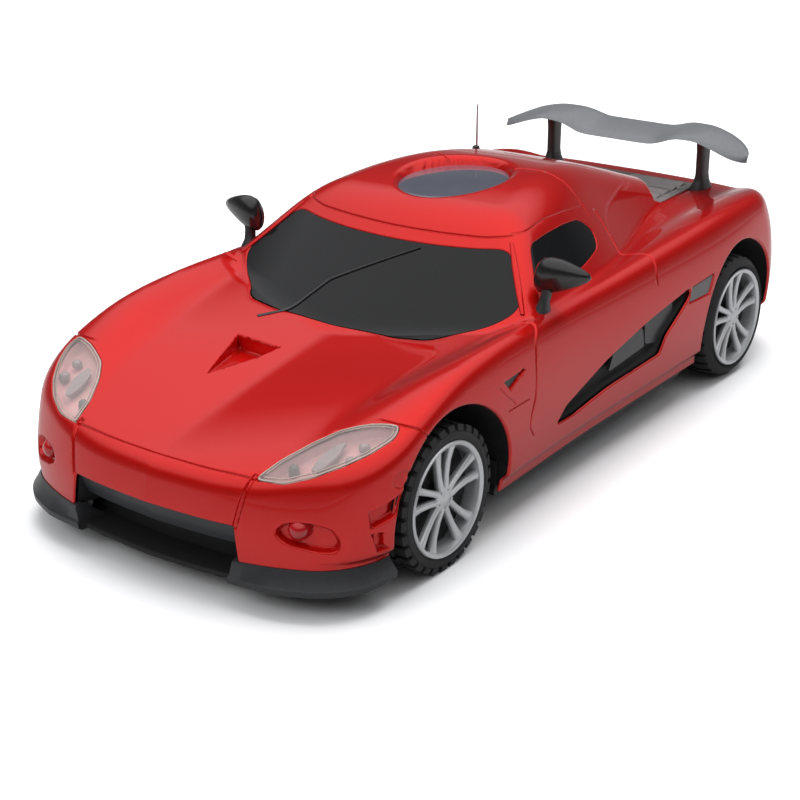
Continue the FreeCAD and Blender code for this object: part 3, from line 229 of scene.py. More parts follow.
# ---------------- distances to outlines and lines drawn on the body
PLANES = {"XY": [0, 1], "XZ": [0, 2], "YZ": [1, 2]}
FAR = 60.0


def rounded(points, radius, steps=4, closed=True):
    """The same outline with its corners rounded off."""
    made = []
    count = len(points)
    for i, corner in enumerate(np.array(points, dtype=float)):
        if not closed and i in (0, count - 1):
            made.append(corner)
            continue
        before, after = np.array(points[i - 1], float) - corner, np.array(points[(i + 1) % count],
                                                                          float) - corner
        reach_b, reach_a = np.linalg.norm(before), np.linalg.norm(after)
        start = corner + before * min(radius / reach_b, 0.48)
        end = corner + after * min(radius / reach_a, 0.48)
        for t in np.linspace(0, 1, steps + 1):
            made.append(start * (1 - t) ** 2 + corner * 2 * t * (1 - t) + end * t * t)
    return np.array(made)


def to_segments(at, a, b):
    """For each point, the nearest distance to the segments and the side of that segment it is on."""
    edge = b - a
    away = at[:, None, :] - a[None]
    t = np.clip((away * edge).sum(-1) / (edge * edge).sum(-1), 0, 1)
    gap = away - t[..., None] * edge
    distance = np.sqrt((gap * gap).sum(-1))
    nearest = distance.argmin(1)
    rows = np.arange(len(at))
    side = edge[nearest, 0] * away[rows, nearest, 1] - edge[nearest, 1] * away[rows, nearest, 0]
    return distance[rows, nearest], np.where(side < 0, -1.0, 1.0)


def chunks(function, at):
    """Runs a function over many points a part at a time."""
    return np.concatenate([function(at[i:i + 20000]) for i in range(0, len(at), 20000)])


class Outline:
    """A closed outline in a plane; its value is the distance outside it, negative within."""

    def __init__(self, plane, points, where, radius=1.0, both=True):
        self.plane, self.where, self.both = PLANES[plane], where, both
        self.corners = rounded(points, radius)

    def __call__(self, p):
        p = np.concatenate([np.abs(p[:, :1]), p[:, 1:]], axis=1) if self.both else p
        value = np.full(len(p), FAR)
        low, high = self.corners.min(0) - 3, self.corners.max(0) + 3
        at = p[:, self.plane]
        rows = self.where(p) & (at > low).all(1) & (at < high).all(1)
        if rows.any():
            value[rows] = chunks(self.distance, at[rows])
        return value

    def distance(self, at):
        a, b = self.corners, np.roll(self.corners, -1, axis=0)
        away, _ = to_segments(at, a, b)
        rise = np.where(np.abs(b[:, 1] - a[:, 1]) < 1e-9, 1e-9, b[:, 1] - a[:, 1])
        spans = (a[:, 1] > at[:, 1:2]) != (b[:, 1] > at[:, 1:2])
        left = at[:, :1] < (b[:, 0] - a[:, 0]) * (at[:, 1:2] - a[:, 1]) / rise + a[:, 0]
        return np.where((spans & left).sum(1) % 2 == 1, -away, away)


class Line:
    """An open line in a plane; its value is the distance from it, negative on one side."""

    def __init__(self, plane, points, where, radius=1.0, both=True):
        self.plane, self.where, self.both = PLANES[plane], where, both
        path = rounded(points, radius, closed=False)
        self.a, self.b = path[:-1], path[1:]

    def __call__(self, p):
        p = np.concatenate([np.abs(p[:, :1]), p[:, 1:]], axis=1) if self.both else p
        value = np.full(len(p), FAR)
        at = p[:, self.plane]
        low = np.minimum(self.a, self.b).min(0) - 3
        high = np.maximum(self.a, self.b).max(0) + 3
        rows = self.where(p) & (at > low).all(1) & (at < high).all(1)
        if rows.any():
            value[rows] = chunks(lambda q: np.prod(to_segments(q, self.a, self.b), axis=0), at[rows])
        return value


class Groove:
    """A pressed line: its width and depth in millimetres."""

    def __init__(self, line, half=0.42, depth=0.45, flat=0.0):
        self.line, self.half, self.depth, self.flat = line, half, depth, flat

    def refine(self, points, faces):
        points, faces = slice_at(points, faces, self.line(points), False)
        for level in (self.half + self.flat, self.half * 0.6 + self.flat, self.half * 0.25 + self.flat):
            for side in (1, -1):
                points, faces = slice_at(points, faces, self.line(points) * side - level, False)
        return points, faces

    def press(self, p):
        t = np.clip((self.half + self.flat - np.abs(self.line(p))) / self.half, 0, 1)
        return self.depth * t * t * (3 - 2 * t)


class Dent:
    """A pressed area inside an outline, with a wall of the given width; depth may vary over it."""

    def __init__(self, outline, depth, wall=0.6, levels=(0.0, -0.3, -0.7, -1.0)):
        self.outline, self.depth, self.wall, self.levels = outline, depth, wall, levels

    def refine(self, points, faces):
        for level in self.levels:
            points, faces = slice_at(points, faces, self.outline(points) - level * self.wall, False)
        return points, faces

    def press(self, p):
        t = np.clip(-self.outline(p) / self.wall, 0, 1)
        deep = self.depth(p) if callable(self.depth) else self.depth
        return deep * t * t * (3 - 2 * t)


class Opening:
    """A hole inside an outline, with its edge rolled in over a small radius."""

    def __init__(self, outline, roll=0.45):
        self.outline, self.roll = outline, roll

    def refine(self, points, faces):
        for level in (1.0, 0.62, 0.32, 0.12, 0.0):
            points, faces = slice_at(points, faces, self.outline(points) - level * self.roll, False)
        return points, faces

    def press(self, p):
        t = np.clip(1 - self.outline(p) / self.roll, 0, 1)
        return self.roll * (1 - np.sqrt(np.maximum(1 - t * t, 0.0)))


def pressed(points, features):
    """The points moved in by every feature, with the outward directions there."""
    out = outward_at(points)
    step = 0.03
    depth = np.zeros(len(points))
    lean = np.zeros_like(points)
    for feature in features:
        here = feature.press(points)
        near = here > 0
        depth += here
        if near.any():
            spot = points[near]
            for axis in range(3):
                shift = np.zeros(3)
                shift[axis] = step
                change = (feature.press(spot + shift) - feature.press(spot - shift)) / (2 * step)
                lean[near, axis] += np.clip(change, -8, 8)
    flat = lean - out * (lean * out).sum(1, keepdims=True)
    normal = out + flat
    return points - out * depth[:, None], normal / np.linalg.norm(normal, axis=1, keepdims=True)


# ---------------- Blender objects from numbers
def build(name, points, faces, body, material, normals=None, replaces=(), smooth=True, angle=35):
    """A mesh in millimetres as a Blender object that rides on a body."""
    mesh = bpy.data.meshes.new(name)
    mesh.vertices.add(len(points))
    mesh.vertices.foreach_set("co", (np.asarray(points) * MM).astype(np.float32).ravel())
    mesh.loops.add(faces.size)
    mesh.loops.foreach_set("vertex_index", faces.astype(np.int32).ravel())
    mesh.polygons.add(len(faces))
    width = faces.shape[1]
    mesh.polygons.foreach_set("loop_start", np.arange(0, faces.size, width, dtype=np.int32))
    mesh.polygons.foreach_set("loop_total", np.full(len(faces), width, dtype=np.int32))
    mesh.update(calc_edges=True)
    mesh.validate()
    mesh.polygons.foreach_set("use_smooth", np.full(len(mesh.polygons), smooth))
    if normals is not None:
        mesh.normals_split_custom_set_from_vertices(normals.astype(np.float32))
    elif smooth:
        mesh.set_sharp_from_angle(angle=math.radians(angle))
    made = bpy.data.objects.new(name, mesh)
    bpy.context.collection.objects.link(made)
    return finish_piece(made, body, material, replaces)


def finish_piece(made, body, material, replaces=()):
    made.data.materials.clear()
    made.data.materials.append(material)
    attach(made, body)
    if replaces:
        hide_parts(*replaces)
    return made


def rim_edges(faces):
    """The open edges of a sheet, in face order."""
    edges = np.concatenate([faces[:, [0, 1]], faces[:, [1, 2]], faces[:, [2, 0]]]).astype(np.int64)
    count = int(faces.max()) + 1
    low, high = edges.min(1), edges.max(1)
    _, first, times = np.unique(low * count + high, return_index=True, return_counts=True)
    return edges[first[times == 1]]


def thick_sheet(points, faces, normals, thick):
    """A closed sheet: the outer face, an inner face moved in, and walls along its open edges."""
    inner = points - normals * thick
    rim = rim_edges(faces)
    a, b = points[rim[:, 0]], points[rim[:, 1]]
    c, d = inner[rim[:, 1]], inner[rim[:, 0]]
    wall_normal = np.cross(b - a, d - a)
    wall_normal /= np.maximum(np.linalg.norm(wall_normal, axis=1, keepdims=True), 1e-9)
    start, count = 2 * len(points), len(rim)
    index = start + np.arange(count)
    walls = np.concatenate([np.stack([index + count, index, index + 3 * count], 1),
                            np.stack([index + count, index + 3 * count, index + 2 * count], 1)])
    all_points = np.concatenate([points, inner, a, b, c, d])
    all_normals = np.concatenate([normals, -normals] + [-wall_normal] * 4)
    all_faces = np.concatenate([faces, faces[:, ::-1] + len(points), walls])
    return all_points, all_faces, all_normals


# ---------------- what is cut and pressed into the body
def on_side(p):
    return (p[:, 0] > 30) & (np.abs(p[:, 1]) < 118)


def low_side(p):
    return p[:, 0] > 45


def on_top(p):
    return p[:, 2] > 26


def in_front(p):
    return p[:, 1] < -98


def at_back(p):
    return p[:, 1] > 100


def screen_side(p):
    return (p[:, 1] < -8) & (p[:, 2] > 38)


def around(middle_y, middle_z, radius, count=72):
    """A circle's corner points, for an outline."""
    turn = np.linspace(0, 2 * math.pi, count, endpoint=False)
    return np.stack([middle_y + radius * np.cos(turn), middle_z + radius * np.sin(turn)], axis=1)


def mirrored_outline(points):
    return points + [(-a, b) for a, b in reversed(points) if a > 0]


ARCHES = (("front", -71.8, 17.3, 23.2), ("rear", 76.5, 17.0, 23.8))
SCREEN = mirrored_outline([(0, 42.0), (18, 42.6), (30, 43.7), (40, 45.9), (44.4, 48.9), (43.4, 51.4),
                           (36.4, 58.8),
                           (33.4, 60.4), (26, 59.9), (14, 59.6), (0, 59.5)])
SIDE_GLASS = [(-21.5, 52), (-12, 61), (-2, 61.2), (8, 60.8), (17.4, 59.6), (21.4, 55.8), (18.2, 52.6),
              (4, 51.6)]
HEADLAMP = [(28.4, -111.7), (30.4, -104.5), (34, -97.5), (38, -92.4), (44, -89.4), (51.2, -87),
            (52.2, -90.6),
            (49.8, -96.6), (46.2, -102), (41.6, -106.6), (35.6, -110.2)]
SIDE_SCOOP = [(-26.5, 20), (-22, 23.6), (-1, 29.4), (20.7, 33.5), (43.5, 36.2), (43.5, 34), (38.5, 31),
              (30, 26.3),
              (27, 21.8), (0, 21.2), (-17, 19.6)]
MOUTH = [(-25.2, 20.4), (25.2, 20.4), (27.2, 6), (-27.2, 6)]
TAIL_PANEL = [(-43, 36), (43, 36), (40, 22), (-40, 22)]
DIFFUSER = [(-37, 18.5), (37, 18.5), (33, 5), (-33, 5)]

screen_edge = Outline("XZ", SCREEN, screen_side, 3.0, both=False)
glass_edge = Outline("YZ", SIDE_GLASS, on_side, 2.5)
lamp_edge = Outline("XY", HEADLAMP, on_top, 1.6)
scoop_edge = Outline("YZ", SIDE_SCOOP, low_side, 1.2)
mouth_edge = Outline("XZ", MOUTH, in_front, 0.8, both=False)
tail_edge = Outline("XZ", TAIL_PANEL, at_back, 2.0, both=False)
diffuser_edge = Outline("XZ", DIFFUSER, at_back, 1.5, both=False)
arch_edges = [Outline("YZ", around(*arch[1:], 96), low_side, 0.1) for arch in ARCHES]
slot_edge = Outline("XZ", [(34.4, 20.6), (36.8, 23.2), (42.5, 23.6), (47.2, 22.4), (49.2, 18.6), (48, 16.2),
                           (43.8, 16.4),
                           (37, 18)], in_front, 1.6)
quad_edge = Outline("YZ", [(44.4, 36.2), (58.5, 36.8), (55, 31), (42.5, 31.6)], low_side, 0.4)
vent_edge = Outline("YZ", [(-39.3, 40.6), (-51.2, 40.2), (-48.8, 37.2)], low_side, 0.5)
canard_high = Outline("YZ", [(-101.6, 25.4), (-97, 26.6), (-92.2, 28.4), (-94.6, 22.6), (-101.4, 20.9)],
                      low_side, 0.8)
canard_low = Outline("YZ", [(-101.4, 19.9), (-98.2, 20.1), (-98, 16.4), (-96.2, 15.2), (-99.8, 14.4)],
                     low_side, 0.5)
marker_edge = Outline("YZ", np.array(around(-92.3, 30.8, 1.0, 24) - [-92.3, 30.8]) * [3.0, 2.2] + [-92.3,
                                                                                                   30.8],
                      low_side, 0.1)
marker_core = Outline("YZ", [(-93.8, 31.8), (-90.8, 31.8), (-90.8, 29.8), (-93.8, 29.8)], low_side, 0.6)

door_front = Line("YZ", [(-28.3, 49.6), (-31.2, 48), (-34.4, 45.2), (-36.2, 40), (-37.4, 32), (-39.6, 27.5),
                         (-40.2, 24.6),
                         (-38, 21.6)], low_side)
door_back = Line("YZ", [(30.4, 58), (30.1, 54), (29.4, 50.6), (28.2, 47.6), (26.8, 44.5), (26.5, 42.6)],
                 on_side)
fender_lines = [Line("YZ", [(-53.4, 39.8), (-51, 37), (-47.3, 33.8)], low_side, 0.5),
                Line("YZ", [(-50.2, 32.5), (-40.6, 32.3)], low_side)]
lamp_line = Line("YZ", [(-87.6, 41.4), (-85, 40.4), (-80.5, 35.2)], low_side)
bonnet_line = Line("XY", [(-29.2, -111.4), (-15, -112.7), (0, -113), (15, -112.7), (29.2, -111.4)], on_top,
                   4.0, both=False)
nose_line = Line("XZ", [(27.8, 31.4), (26.6, 26), (25.6, 20.5)], in_front)
brow_line = Line("XZ", [(0, 61.9), (16, 62), (27, 62.1), (33.4, 62.9)], screen_side, 3.0)
brow_side = Line("YZ", [(-13, 63.2), (0.5, 63.9), (12, 62.8), (24.4, 60.8)], on_side, 3.0)
roof_line = Line("XY", [(11.5, 20.5), (18, 23.4), (26, 24.2), (33.6, 24.6)], lambda p: p[:, 2] > 58, 4.0)

HALF_FEATURES = (
    [Opening(screen_edge, 0.25), Opening(glass_edge, 0.3), Opening(lamp_edge, 0.3), Opening(scoop_edge, 0.5),
     Opening(mouth_edge, 0.5), Opening(tail_edge, 0.5), Opening(diffuser_edge, 0.5)]
    + [Opening(edge, 0.7) for edge in arch_edges]
    + [Groove(line) for line in (door_front, door_back, lamp_line)]
    + [Groove(line, 0.3, 0.25) for line in fender_lines]
    + [Groove(bonnet_line, 0.4, 0.4), Groove(nose_line, 0.35, 0.5, 0.45), Groove(brow_line, 0.35, 0.3),
       Groove(brow_side, 0.3, 0.25), Groove(roof_line, 0.35, 0.35)]
    + [Dent(slot_edge, 2.2, 1.0), Dent(quad_edge, 0.6, 0.4), Dent(vent_edge, 1.2, 0.5),
       Dent(canard_high, 2.0, 0.9),
       Dent(canard_low, 1.8, 0.8), Dent(marker_edge, 0.3, 0.35), Dent(marker_core, -0.3, 0.35)])
bonnet_vent = Outline("XY", [(-12.6, -82.4), (-18.6, -62.6), (-5.4, -61.4), (-6.9, -68.4)], on_top, 0.4,
                      both=False)
FULL_FEATURES = [Dent(bonnet_vent, lambda p: 4.2 * np.clip((p[:, 1] + 83) / 20, 0, 1), 0.5)]
FOOT_STEPS = ((-80.0, 11.6, 10.2), (62.0, 10.2, 8.2))


def foot_height(p):
    """Distance above the body's lower edge, which drops inside each wheel arch."""
    foot = np.full(len(p), FOOT_STEPS[0][1])
    for start, before, after in FOOT_STEPS:
        foot += (after - before) * np.clip((p[:, 1] - start) / 2, 0, 1)
    return p[:, 2] - foot


points, faces = half_skin()
for feature in HALF_FEATURES:
    points, faces = feature.refine(points, faces)
points, faces = slice_at(points, faces, foot_height(points))
is_above = foot_height(points)[faces].mean(1) > 0
points, faces = used_only(points, faces[is_above])
# the right half is the left one turned over, joined to it along the middle line
other = np.arange(len(points)) + len(points)
on_middle = np.abs(points[:, 0]) < 1e-6
other[on_middle] = np.arange(len(points))[on_middle]
points = np.concatenate([points, points * [-1, 1, 1]])
faces = np.concatenate([faces, other[faces][:, ::-1]])
points, faces = used_only(points, faces)
for feature in FULL_FEATURES:
    points, faces = feature.refine(points, faces)
FEATURES = HALF_FEATURES + FULL_FEATURES
skin, outward = pressed(points, FEATURES)


def patch(edge, gap, side=None, sink=0.1):
    """The part of the bare skin inside an outline, leaving a gap, sunk below the painted surface."""
    p, f = slice_at(points, faces, edge(points) + gap)
    keep = (edge(p)[f].max(1) < -gap + 0.02)
    if side is not None:
        keep &= p[f][:, :, 0].mean(1) * side > 0
    p, f = used_only(p, f[keep])
    normal = outward_at(p)
    return p - normal * sink, f, normal


# ---------------- procedural finishes
def finish(name, dark, light, rough=(0.35, 0.45), metal=0.0, coat=0.0, grain=300.0, bump=0.02):
    """A principled material whose colour and roughness drift between two values over a fine noise."""
    made = bpy.data.materials.new(name)
    made.use_nodes = True
    tree = made.node_tree
    surface = tree.nodes["Principled BSDF"]
    place = tree.nodes.new("ShaderNodeTexCoord")
    noise = tree.nodes.new("ShaderNodeTexNoise")
    noise.inputs["Scale"].default_value = grain
    noise.inputs["Detail"].default_value = 4.0
    tree.links.new(place.outputs["Object"], noise.inputs["Vector"])
    tint = tree.nodes.new("ShaderNodeMix")
    tint.data_type = "RGBA"
    tint.inputs[6].default_value = (*dark, 1)
    tint.inputs[7].default_value = (*light, 1)
    tree.links.new(noise.outputs["Fac"], tint.inputs[0])
    tree.links.new(tint.outputs[2], surface.inputs["Base Color"])
    gloss = tree.nodes.new("ShaderNodeMapRange")
    gloss.inputs["To Min"].default_value, gloss.inputs["To Max"].default_value = rough
    tree.links.new(noise.outputs["Fac"], gloss.inputs["Value"])
    tree.links.new(gloss.outputs["Result"], surface.inputs["Roughness"])
    if bump:
        dent = tree.nodes.new("ShaderNodeBump")
        dent.inputs["Strength"].default_value = bump
        dent.inputs["Distance"].default_value = 0.0002
        tree.links.new(noise.outputs["Fac"], dent.inputs["Height"])
        tree.links.new(dent.outputs["Normal"], surface.inputs["Normal"])
    surface.inputs["Metallic"].default_value = metal
    surface.inputs["Coat Weight"].default_value = coat
    surface.inputs["Coat Roughness"].default_value = 0.03
    surface.inputs["IOR"].default_value = 1.5
    return made


def candy_paint():
    """Red metallic paint under a clear coat: bright where it faces the eye, deep at a slant; the deepening at
    a slant is partly candy depth and partly painted shade on the sides.
    """
    made = finish("candy_paint", (0.54, 0.008, 0.006), (0.62, 0.012, 0.008), (0.27, 0.33), 0.5, 0.85,
                  2500.0, 0.0)
    tree = made.node_tree
    surface = tree.nodes["Principled BSDF"]
    facing_shade = tree.nodes.new("ShaderNodeLayerWeight")
    facing_shade.inputs["Blend"].default_value = 0.35
    surface.inputs["Specular IOR Level"].default_value = 0.12
    surface.inputs["Specular Tint"].default_value = (0.9, 0.05, 0.04, 1)
    # painted shade: this ramp takes the base colour from bright red facing the eye to deep crimson at a
    # slant, so the sides look shaded; three quarters of the base colour comes from it
    ramp_node = tree.nodes.new("ShaderNodeValToRGB")
    ramp_node.color_ramp.elements[0].color = (0.70, 0.008, 0.005, 1)
    ramp_node.color_ramp.elements[1].color = (0.34, 0.002, 0.004, 1)
    tree.links.new(facing_shade.outputs["Facing"], ramp_node.inputs["Fac"])
    tint = [n for n in tree.nodes if n.type == "MIX"][0]
    both = tree.nodes.new("ShaderNodeMix")
    both.data_type = "RGBA"
    both.inputs[0].default_value = 0.75
    tree.links.new(tint.outputs[2], both.inputs[6])
    tree.links.new(ramp_node.outputs["Color"], both.inputs[7])
    tree.links.new(both.outputs[2], surface.inputs["Base Color"])
    return made


def smoked_glass(name, tint, clear, through_tint=(0.55, 0.57, 0.6), coat=0.0):
    """Dark glossy glass that shows a little of what is behind it."""
    made = finish(name, tint, tuple(1.3 * t for t in tint), (0.02, 0.05), 0.0, coat, 60.0, 0.0)
    tree = made.node_tree
    surface = tree.nodes["Principled BSDF"]
    through = tree.nodes.new("ShaderNodeBsdfTransparent")
    through.inputs["Color"].default_value = (*through_tint, 1)
    mixed = tree.nodes.new("ShaderNodeMixShader")
    mixed.inputs["Fac"].default_value = clear
    tree.links.new(surface.outputs["BSDF"], mixed.inputs[1])
    tree.links.new(through.outputs["BSDF"], mixed.inputs[2])
    tree.links.new(mixed.outputs["Shader"], tree.nodes["Material Output"].inputs["Surface"])
    return made


PAINT = candy_paint()
GLASS = smoked_glass("smoked_glass", (0.006, 0.0063, 0.007), 0.22)
LENS = smoked_glass("clear_lens", (0.8, 0.74, 0.74), 0.9, (0.97, 0.95, 0.95), 1.0)
BORDER = finish("lens_rim", (0.3, 0.24, 0.2), (0.4, 0.32, 0.28), (0.1, 0.2), 0.0, 1.0, 300.0, 0.0)
LAMP_GREY = finish("lamp_grey", (0.1, 0.12, 0.11), (0.34, 0.28, 0.27), (0.25, 0.35), 0.4, 0.3, 300.0, 0.02)
SCOOP = finish("scoop_grey", (0.026, 0.028, 0.031), (0.042, 0.045, 0.05), (0.4, 0.5), 0.0, 0.2, 700.0, 0.05)
BAND = finish("band_grey", (0.028, 0.03, 0.034), (0.042, 0.045, 0.05), (0.4, 0.5), 0.0, 0.2, 700.0, 0.05)
GLOSS = finish("gloss_black", (0.008, 0.008, 0.009), (0.014, 0.014, 0.015), (0.16, 0.24), 0.0, 0.5, 900.0,
               0.0)
MESH = finish("mesh_grey", (0.1, 0.095, 0.095), (0.16, 0.15, 0.15), (0.4, 0.5), 0.0, 0.2, 1500.0, 0.1)
WING = finish("wing_satin", (0.0938, 0.0975, 0.106), (0.138, 0.143, 0.152), (0.34, 0.44), 0.0, 0.25, 900.0,
              0.05)
TRIM = finish("satin_black", (0.018, 0.019, 0.021), (0.03, 0.031, 0.033), (0.38, 0.5), 0.0, 0.15, 900.0,
              0.06)
VOID = finish("matt_black", (0.006, 0.006, 0.006), (0.012, 0.012, 0.012), (0.6, 0.75), 0.0, 0.0, 500.0, 0.05)
CABIN = finish("cabin_black", (0.02, 0.02, 0.021), (0.035, 0.035, 0.037), (0.5, 0.65), 0.0, 0.0, 400.0, 0.1)
SILVER = finish("rim_silver", (0.58, 0.59, 0.61), (0.70, 0.71, 0.73), (0.32, 0.42), 0.6, 0.2, 700.0, 0.02)
REFLECTOR = finish("lamp_silver", (0.5, 0.25, 0.24), (0.62, 0.34, 0.33), (0.3, 0.45), 0.1, 0.4, 300.0, 0.03)
RUBBER = finish("tyre_rubber", (0.016, 0.016, 0.017), (0.028, 0.028, 0.03), (0.62, 0.78), 0.0, 0.0, 1200.0,
                0.12)
LED = finish("led_dark", (0.01, 0.025, 0.012), (0.04, 0.07, 0.045), (0.1, 0.2), 0.0, 1.0, 800.0, 0.0)
RED_LAMP = finish("red_lamp", (0.36, 0.003, 0.006), (0.5, 0.006, 0.01), (0.08, 0.16), 0.0, 0.6, 200.0, 0.0)
PANEL = finish("roof_gloss", (0.057, 0.0608, 0.0855), (0.0855, 0.0912, 0.118), (0.05, 0.09), 0.0, 1.0,
               120.0, 0.0)
WHIP = finish("whip_grey", (0.3, 0.3, 0.31), (0.42, 0.42, 0.43), (0.3, 0.4), 0.3, 0.2, 600.0, 0.0)
PLASTIC = finish("gear_white", (0.72, 0.71, 0.66), (0.8, 0.79, 0.75), (0.4, 0.5), 0.0, 0.1, 500.0, 0.03)
BRASS = finish("brass", (0.6, 0.42, 0.16), (0.72, 0.52, 0.22), (0.25, 0.35), 1.0, 0.0, 600.0, 0.03)
STEEL = finish("steel", (0.45, 0.45, 0.46), (0.6, 0.6, 0.61), (0.25, 0.38), 1.0, 0.0, 600.0, 0.03)
CELL_WRAP = finish("cell_wrap", (0.02, 0.12, 0.05), (0.05, 0.2, 0.09), (0.25, 0.35), 0.0, 0.6, 300.0, 0.0)
BOARD = finish("board_green", (0.012, 0.09, 0.03), (0.025, 0.14, 0.05), (0.3, 0.45), 0.0, 0.4, 900.0, 0.05)
CHASSIS = finish("chassis_black", (0.02, 0.02, 0.021), (0.032, 0.032, 0.034), (0.5, 0.62), 0.0, 0.0, 700.0,
                 0.1)
# painted reflection: the black louvred engine cover gets a light grey base colour standing for the white it
# reflects, on top of its real gloss
ENGINE_REFLECTION_GREY = finish("engine_painted_reflection", (0.24, 0.22, 0.22), (0.34, 0.31, 0.31), (0.15, 0.3), 0.4, 0.6, 300.0, 0.02)
SLOT_FINISH = {
    "paint": PAINT, "glass_dark": GLASS, "lens_clear": LENS, "reflector": REFLECTOR, "led": LED,
    "lamp_red": RED_LAMP,
    "trim_black": TRIM, "cabin_black": CABIN, "whip_grey": WHIP, "chassis_black": CHASSIS,
    "gear_white": PLASTIC,
    "brass": BRASS, "steel": STEEL, "motor_steel": STEEL, "cell": CELL_WRAP, "board": BOARD,
    "component": VOID,
    "rim_silver": SILVER, "tyre": RUBBER}


# ---------------- the painted body
SHELL_THICK = 1.2
inside_opening = np.zeros(len(faces), dtype=bool)
for feature in FEATURES:
    if isinstance(feature, Opening):
        inside_opening |= feature.outline(points)[faces].mean(1) < -0.001
shell_points, shell_faces, shell_normals = used_only(skin, faces[~inside_opening], outward)
shell_points, shell_faces, shell_normals = thick_sheet(shell_points, shell_faces, shell_normals, SHELL_THICK)
build("painted_body", shell_points, shell_faces, "chassis", PAINT, shell_normals, ("body_shell",))


def inlay(name, edge, gap, sink, thick, material, replaces=(), side=None):
    """A sheet that fills an opening, flush with the body or sunk below it."""
    p, f, n = patch(edge, gap, side, sink)
    p, f, n = thick_sheet(p, f, n, thick)
    return build(name, p, f, "chassis", material, n, replaces)


def tray(name, edge, depth, wall, material, replaces=(), side=None, under=0.8, skin_thick=1.35):
    """The dark floor behind an opening: it starts under the painted edge and sinks to its depth."""
    p, f, _ = patch(edge, -under, side, 0.0)
    for level in (0.0, 0.25, 0.5, 0.75, 1.0):
        p, f = slice_at(p, f, edge(p) + level * wall)
    t = np.clip(-edge(p) / wall, 0, 1)
    deep = skin_thick + (depth - skin_thick) * t * t * (3 - 2 * t)
    p = p - outward_at(p) * deep[:, None]
    corner = p[f]
    face_normal = np.cross(corner[:, 1] - corner[:, 0], corner[:, 2] - corner[:, 0])
    normal = np.zeros_like(p)
    for i in range(3):
        np.add.at(normal, f[:, i], face_normal)
    normal /= np.maximum(np.linalg.norm(normal, axis=1, keepdims=True), 1e-9)
    p, f, normal = thick_sheet(p, f, normal, 0.6)
    return build(name, p, f, "chassis", material, normal, replaces)


SIDES = (("left", 1), ("right", -1))
inlay("windscreen_glass", screen_edge, 0.05, 0.12, 1.0, GLASS, ("windscreen",))
for name, side in SIDES:
    inlay(f"side_glass_{name}", glass_edge, 0.06, 0.2, 0.9, GLASS, (f"side_window_{name}",),
          side)
    inlay(f"headlight_cover_{name}", lamp_edge, 0.06, 0.0, 0.7, LENS,
          (f"headlight_lens_{name}",), side)
    tray(f"headlight_housing_{name}", lamp_edge, 3.6, 1.2, REFLECTOR,
         (f"headlight_bowl_{name}",), side)
    tray(f"side_intake_tray_{name}", scoop_edge, 3.2, 1.4, VOID, (f"side_intake_{name}",),
         side)
tray("mouth_tray", mouth_edge, 9.0, 1.0, VOID, ("front_grille",))
tray("tail_tray", tail_edge, 3.0, 1.2, TRIM)
tray("diffuser_tray", diffuser_edge, 3.0, 1.2, TRIM)


# ---------------- CAD pieces keep their shape and get real finishes
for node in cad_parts.values():
    slot_name = node.data.materials[0].name.split(".")[0]
    node.data.materials[0] = SLOT_FINISH[slot_name]


# ---------------- lofted parts: wing, mirrors, aerial
def loft(rings):
    """A closed skin over rings of points, each ring in the same order, with a fan over both ends."""
    count, size = len(rings), len(rings[0])
    near = (np.arange(count - 1)[:, None] * size + np.arange(size)).ravel()
    step = np.where(near % size == size - 1, 1 - size, 1)
    far = near + size
    walls = np.concatenate([np.stack([near, near + step, far + step], 1),
                            np.stack([near, far + step, far], 1)])
    ends = [rings[0].mean(0), rings[-1].mean(0)]
    around_end = np.arange(size)
    low = np.stack([np.full(size, count * size), (around_end + 1) % size, around_end], 1)
    last = (count - 1) * size
    high = np.stack([np.full(size, count * size + 1), last + around_end, last + (around_end + 1) % size], 1)
    return np.concatenate([rings.reshape(-1, 3), ends]), np.concatenate([walls, low, high])


def oval_ring(middle, across, up, count=28, power=2.0):
    """A closed ring about a point, spanned by two half-axis vectors; a higher power squares it off."""
    turn = np.linspace(0, 2 * math.pi, count, endpoint=False)
    c, s = np.cos(turn), np.sin(turn)
    reach = (np.abs(c) ** power + np.abs(s) ** power) ** (-1 / power)
    sideways = (reach * c)[:, None] * np.asarray(across)
    upright = (reach * s)[:, None] * np.asarray(up)
    return np.asarray(middle) + sideways + upright


def pod(name, stations, body, material, replaces=(), side=1, power=2.0):
    """A piece lofted over stations of (middle, across, up), turned over for the other side."""
    rings = np.array([oval_ring(*station, power=power) for station in stations]) * [side, 1, 1]
    if side < 0:
        rings = rings[:, ::-1]
    p, f = loft(rings)
    return build(name, p, f, body, material, None, replaces, True, 50)


WING_SPAN, WING_FRONT, WING_BACK, WING_THICK = 43.0, 95.4, 113.6, 1.3
FRONT_EDGE = [(0, 59.4), (13, 59.4), (20, 62.3), (27.5, 62.5), (34, 60.5), (43, 57.0)]
BACK_EDGE = [(0, 61.3), (12, 61.4), (18.5, 63.6), (27.5, 63.9), (34, 62.6), (43, 58.8)]


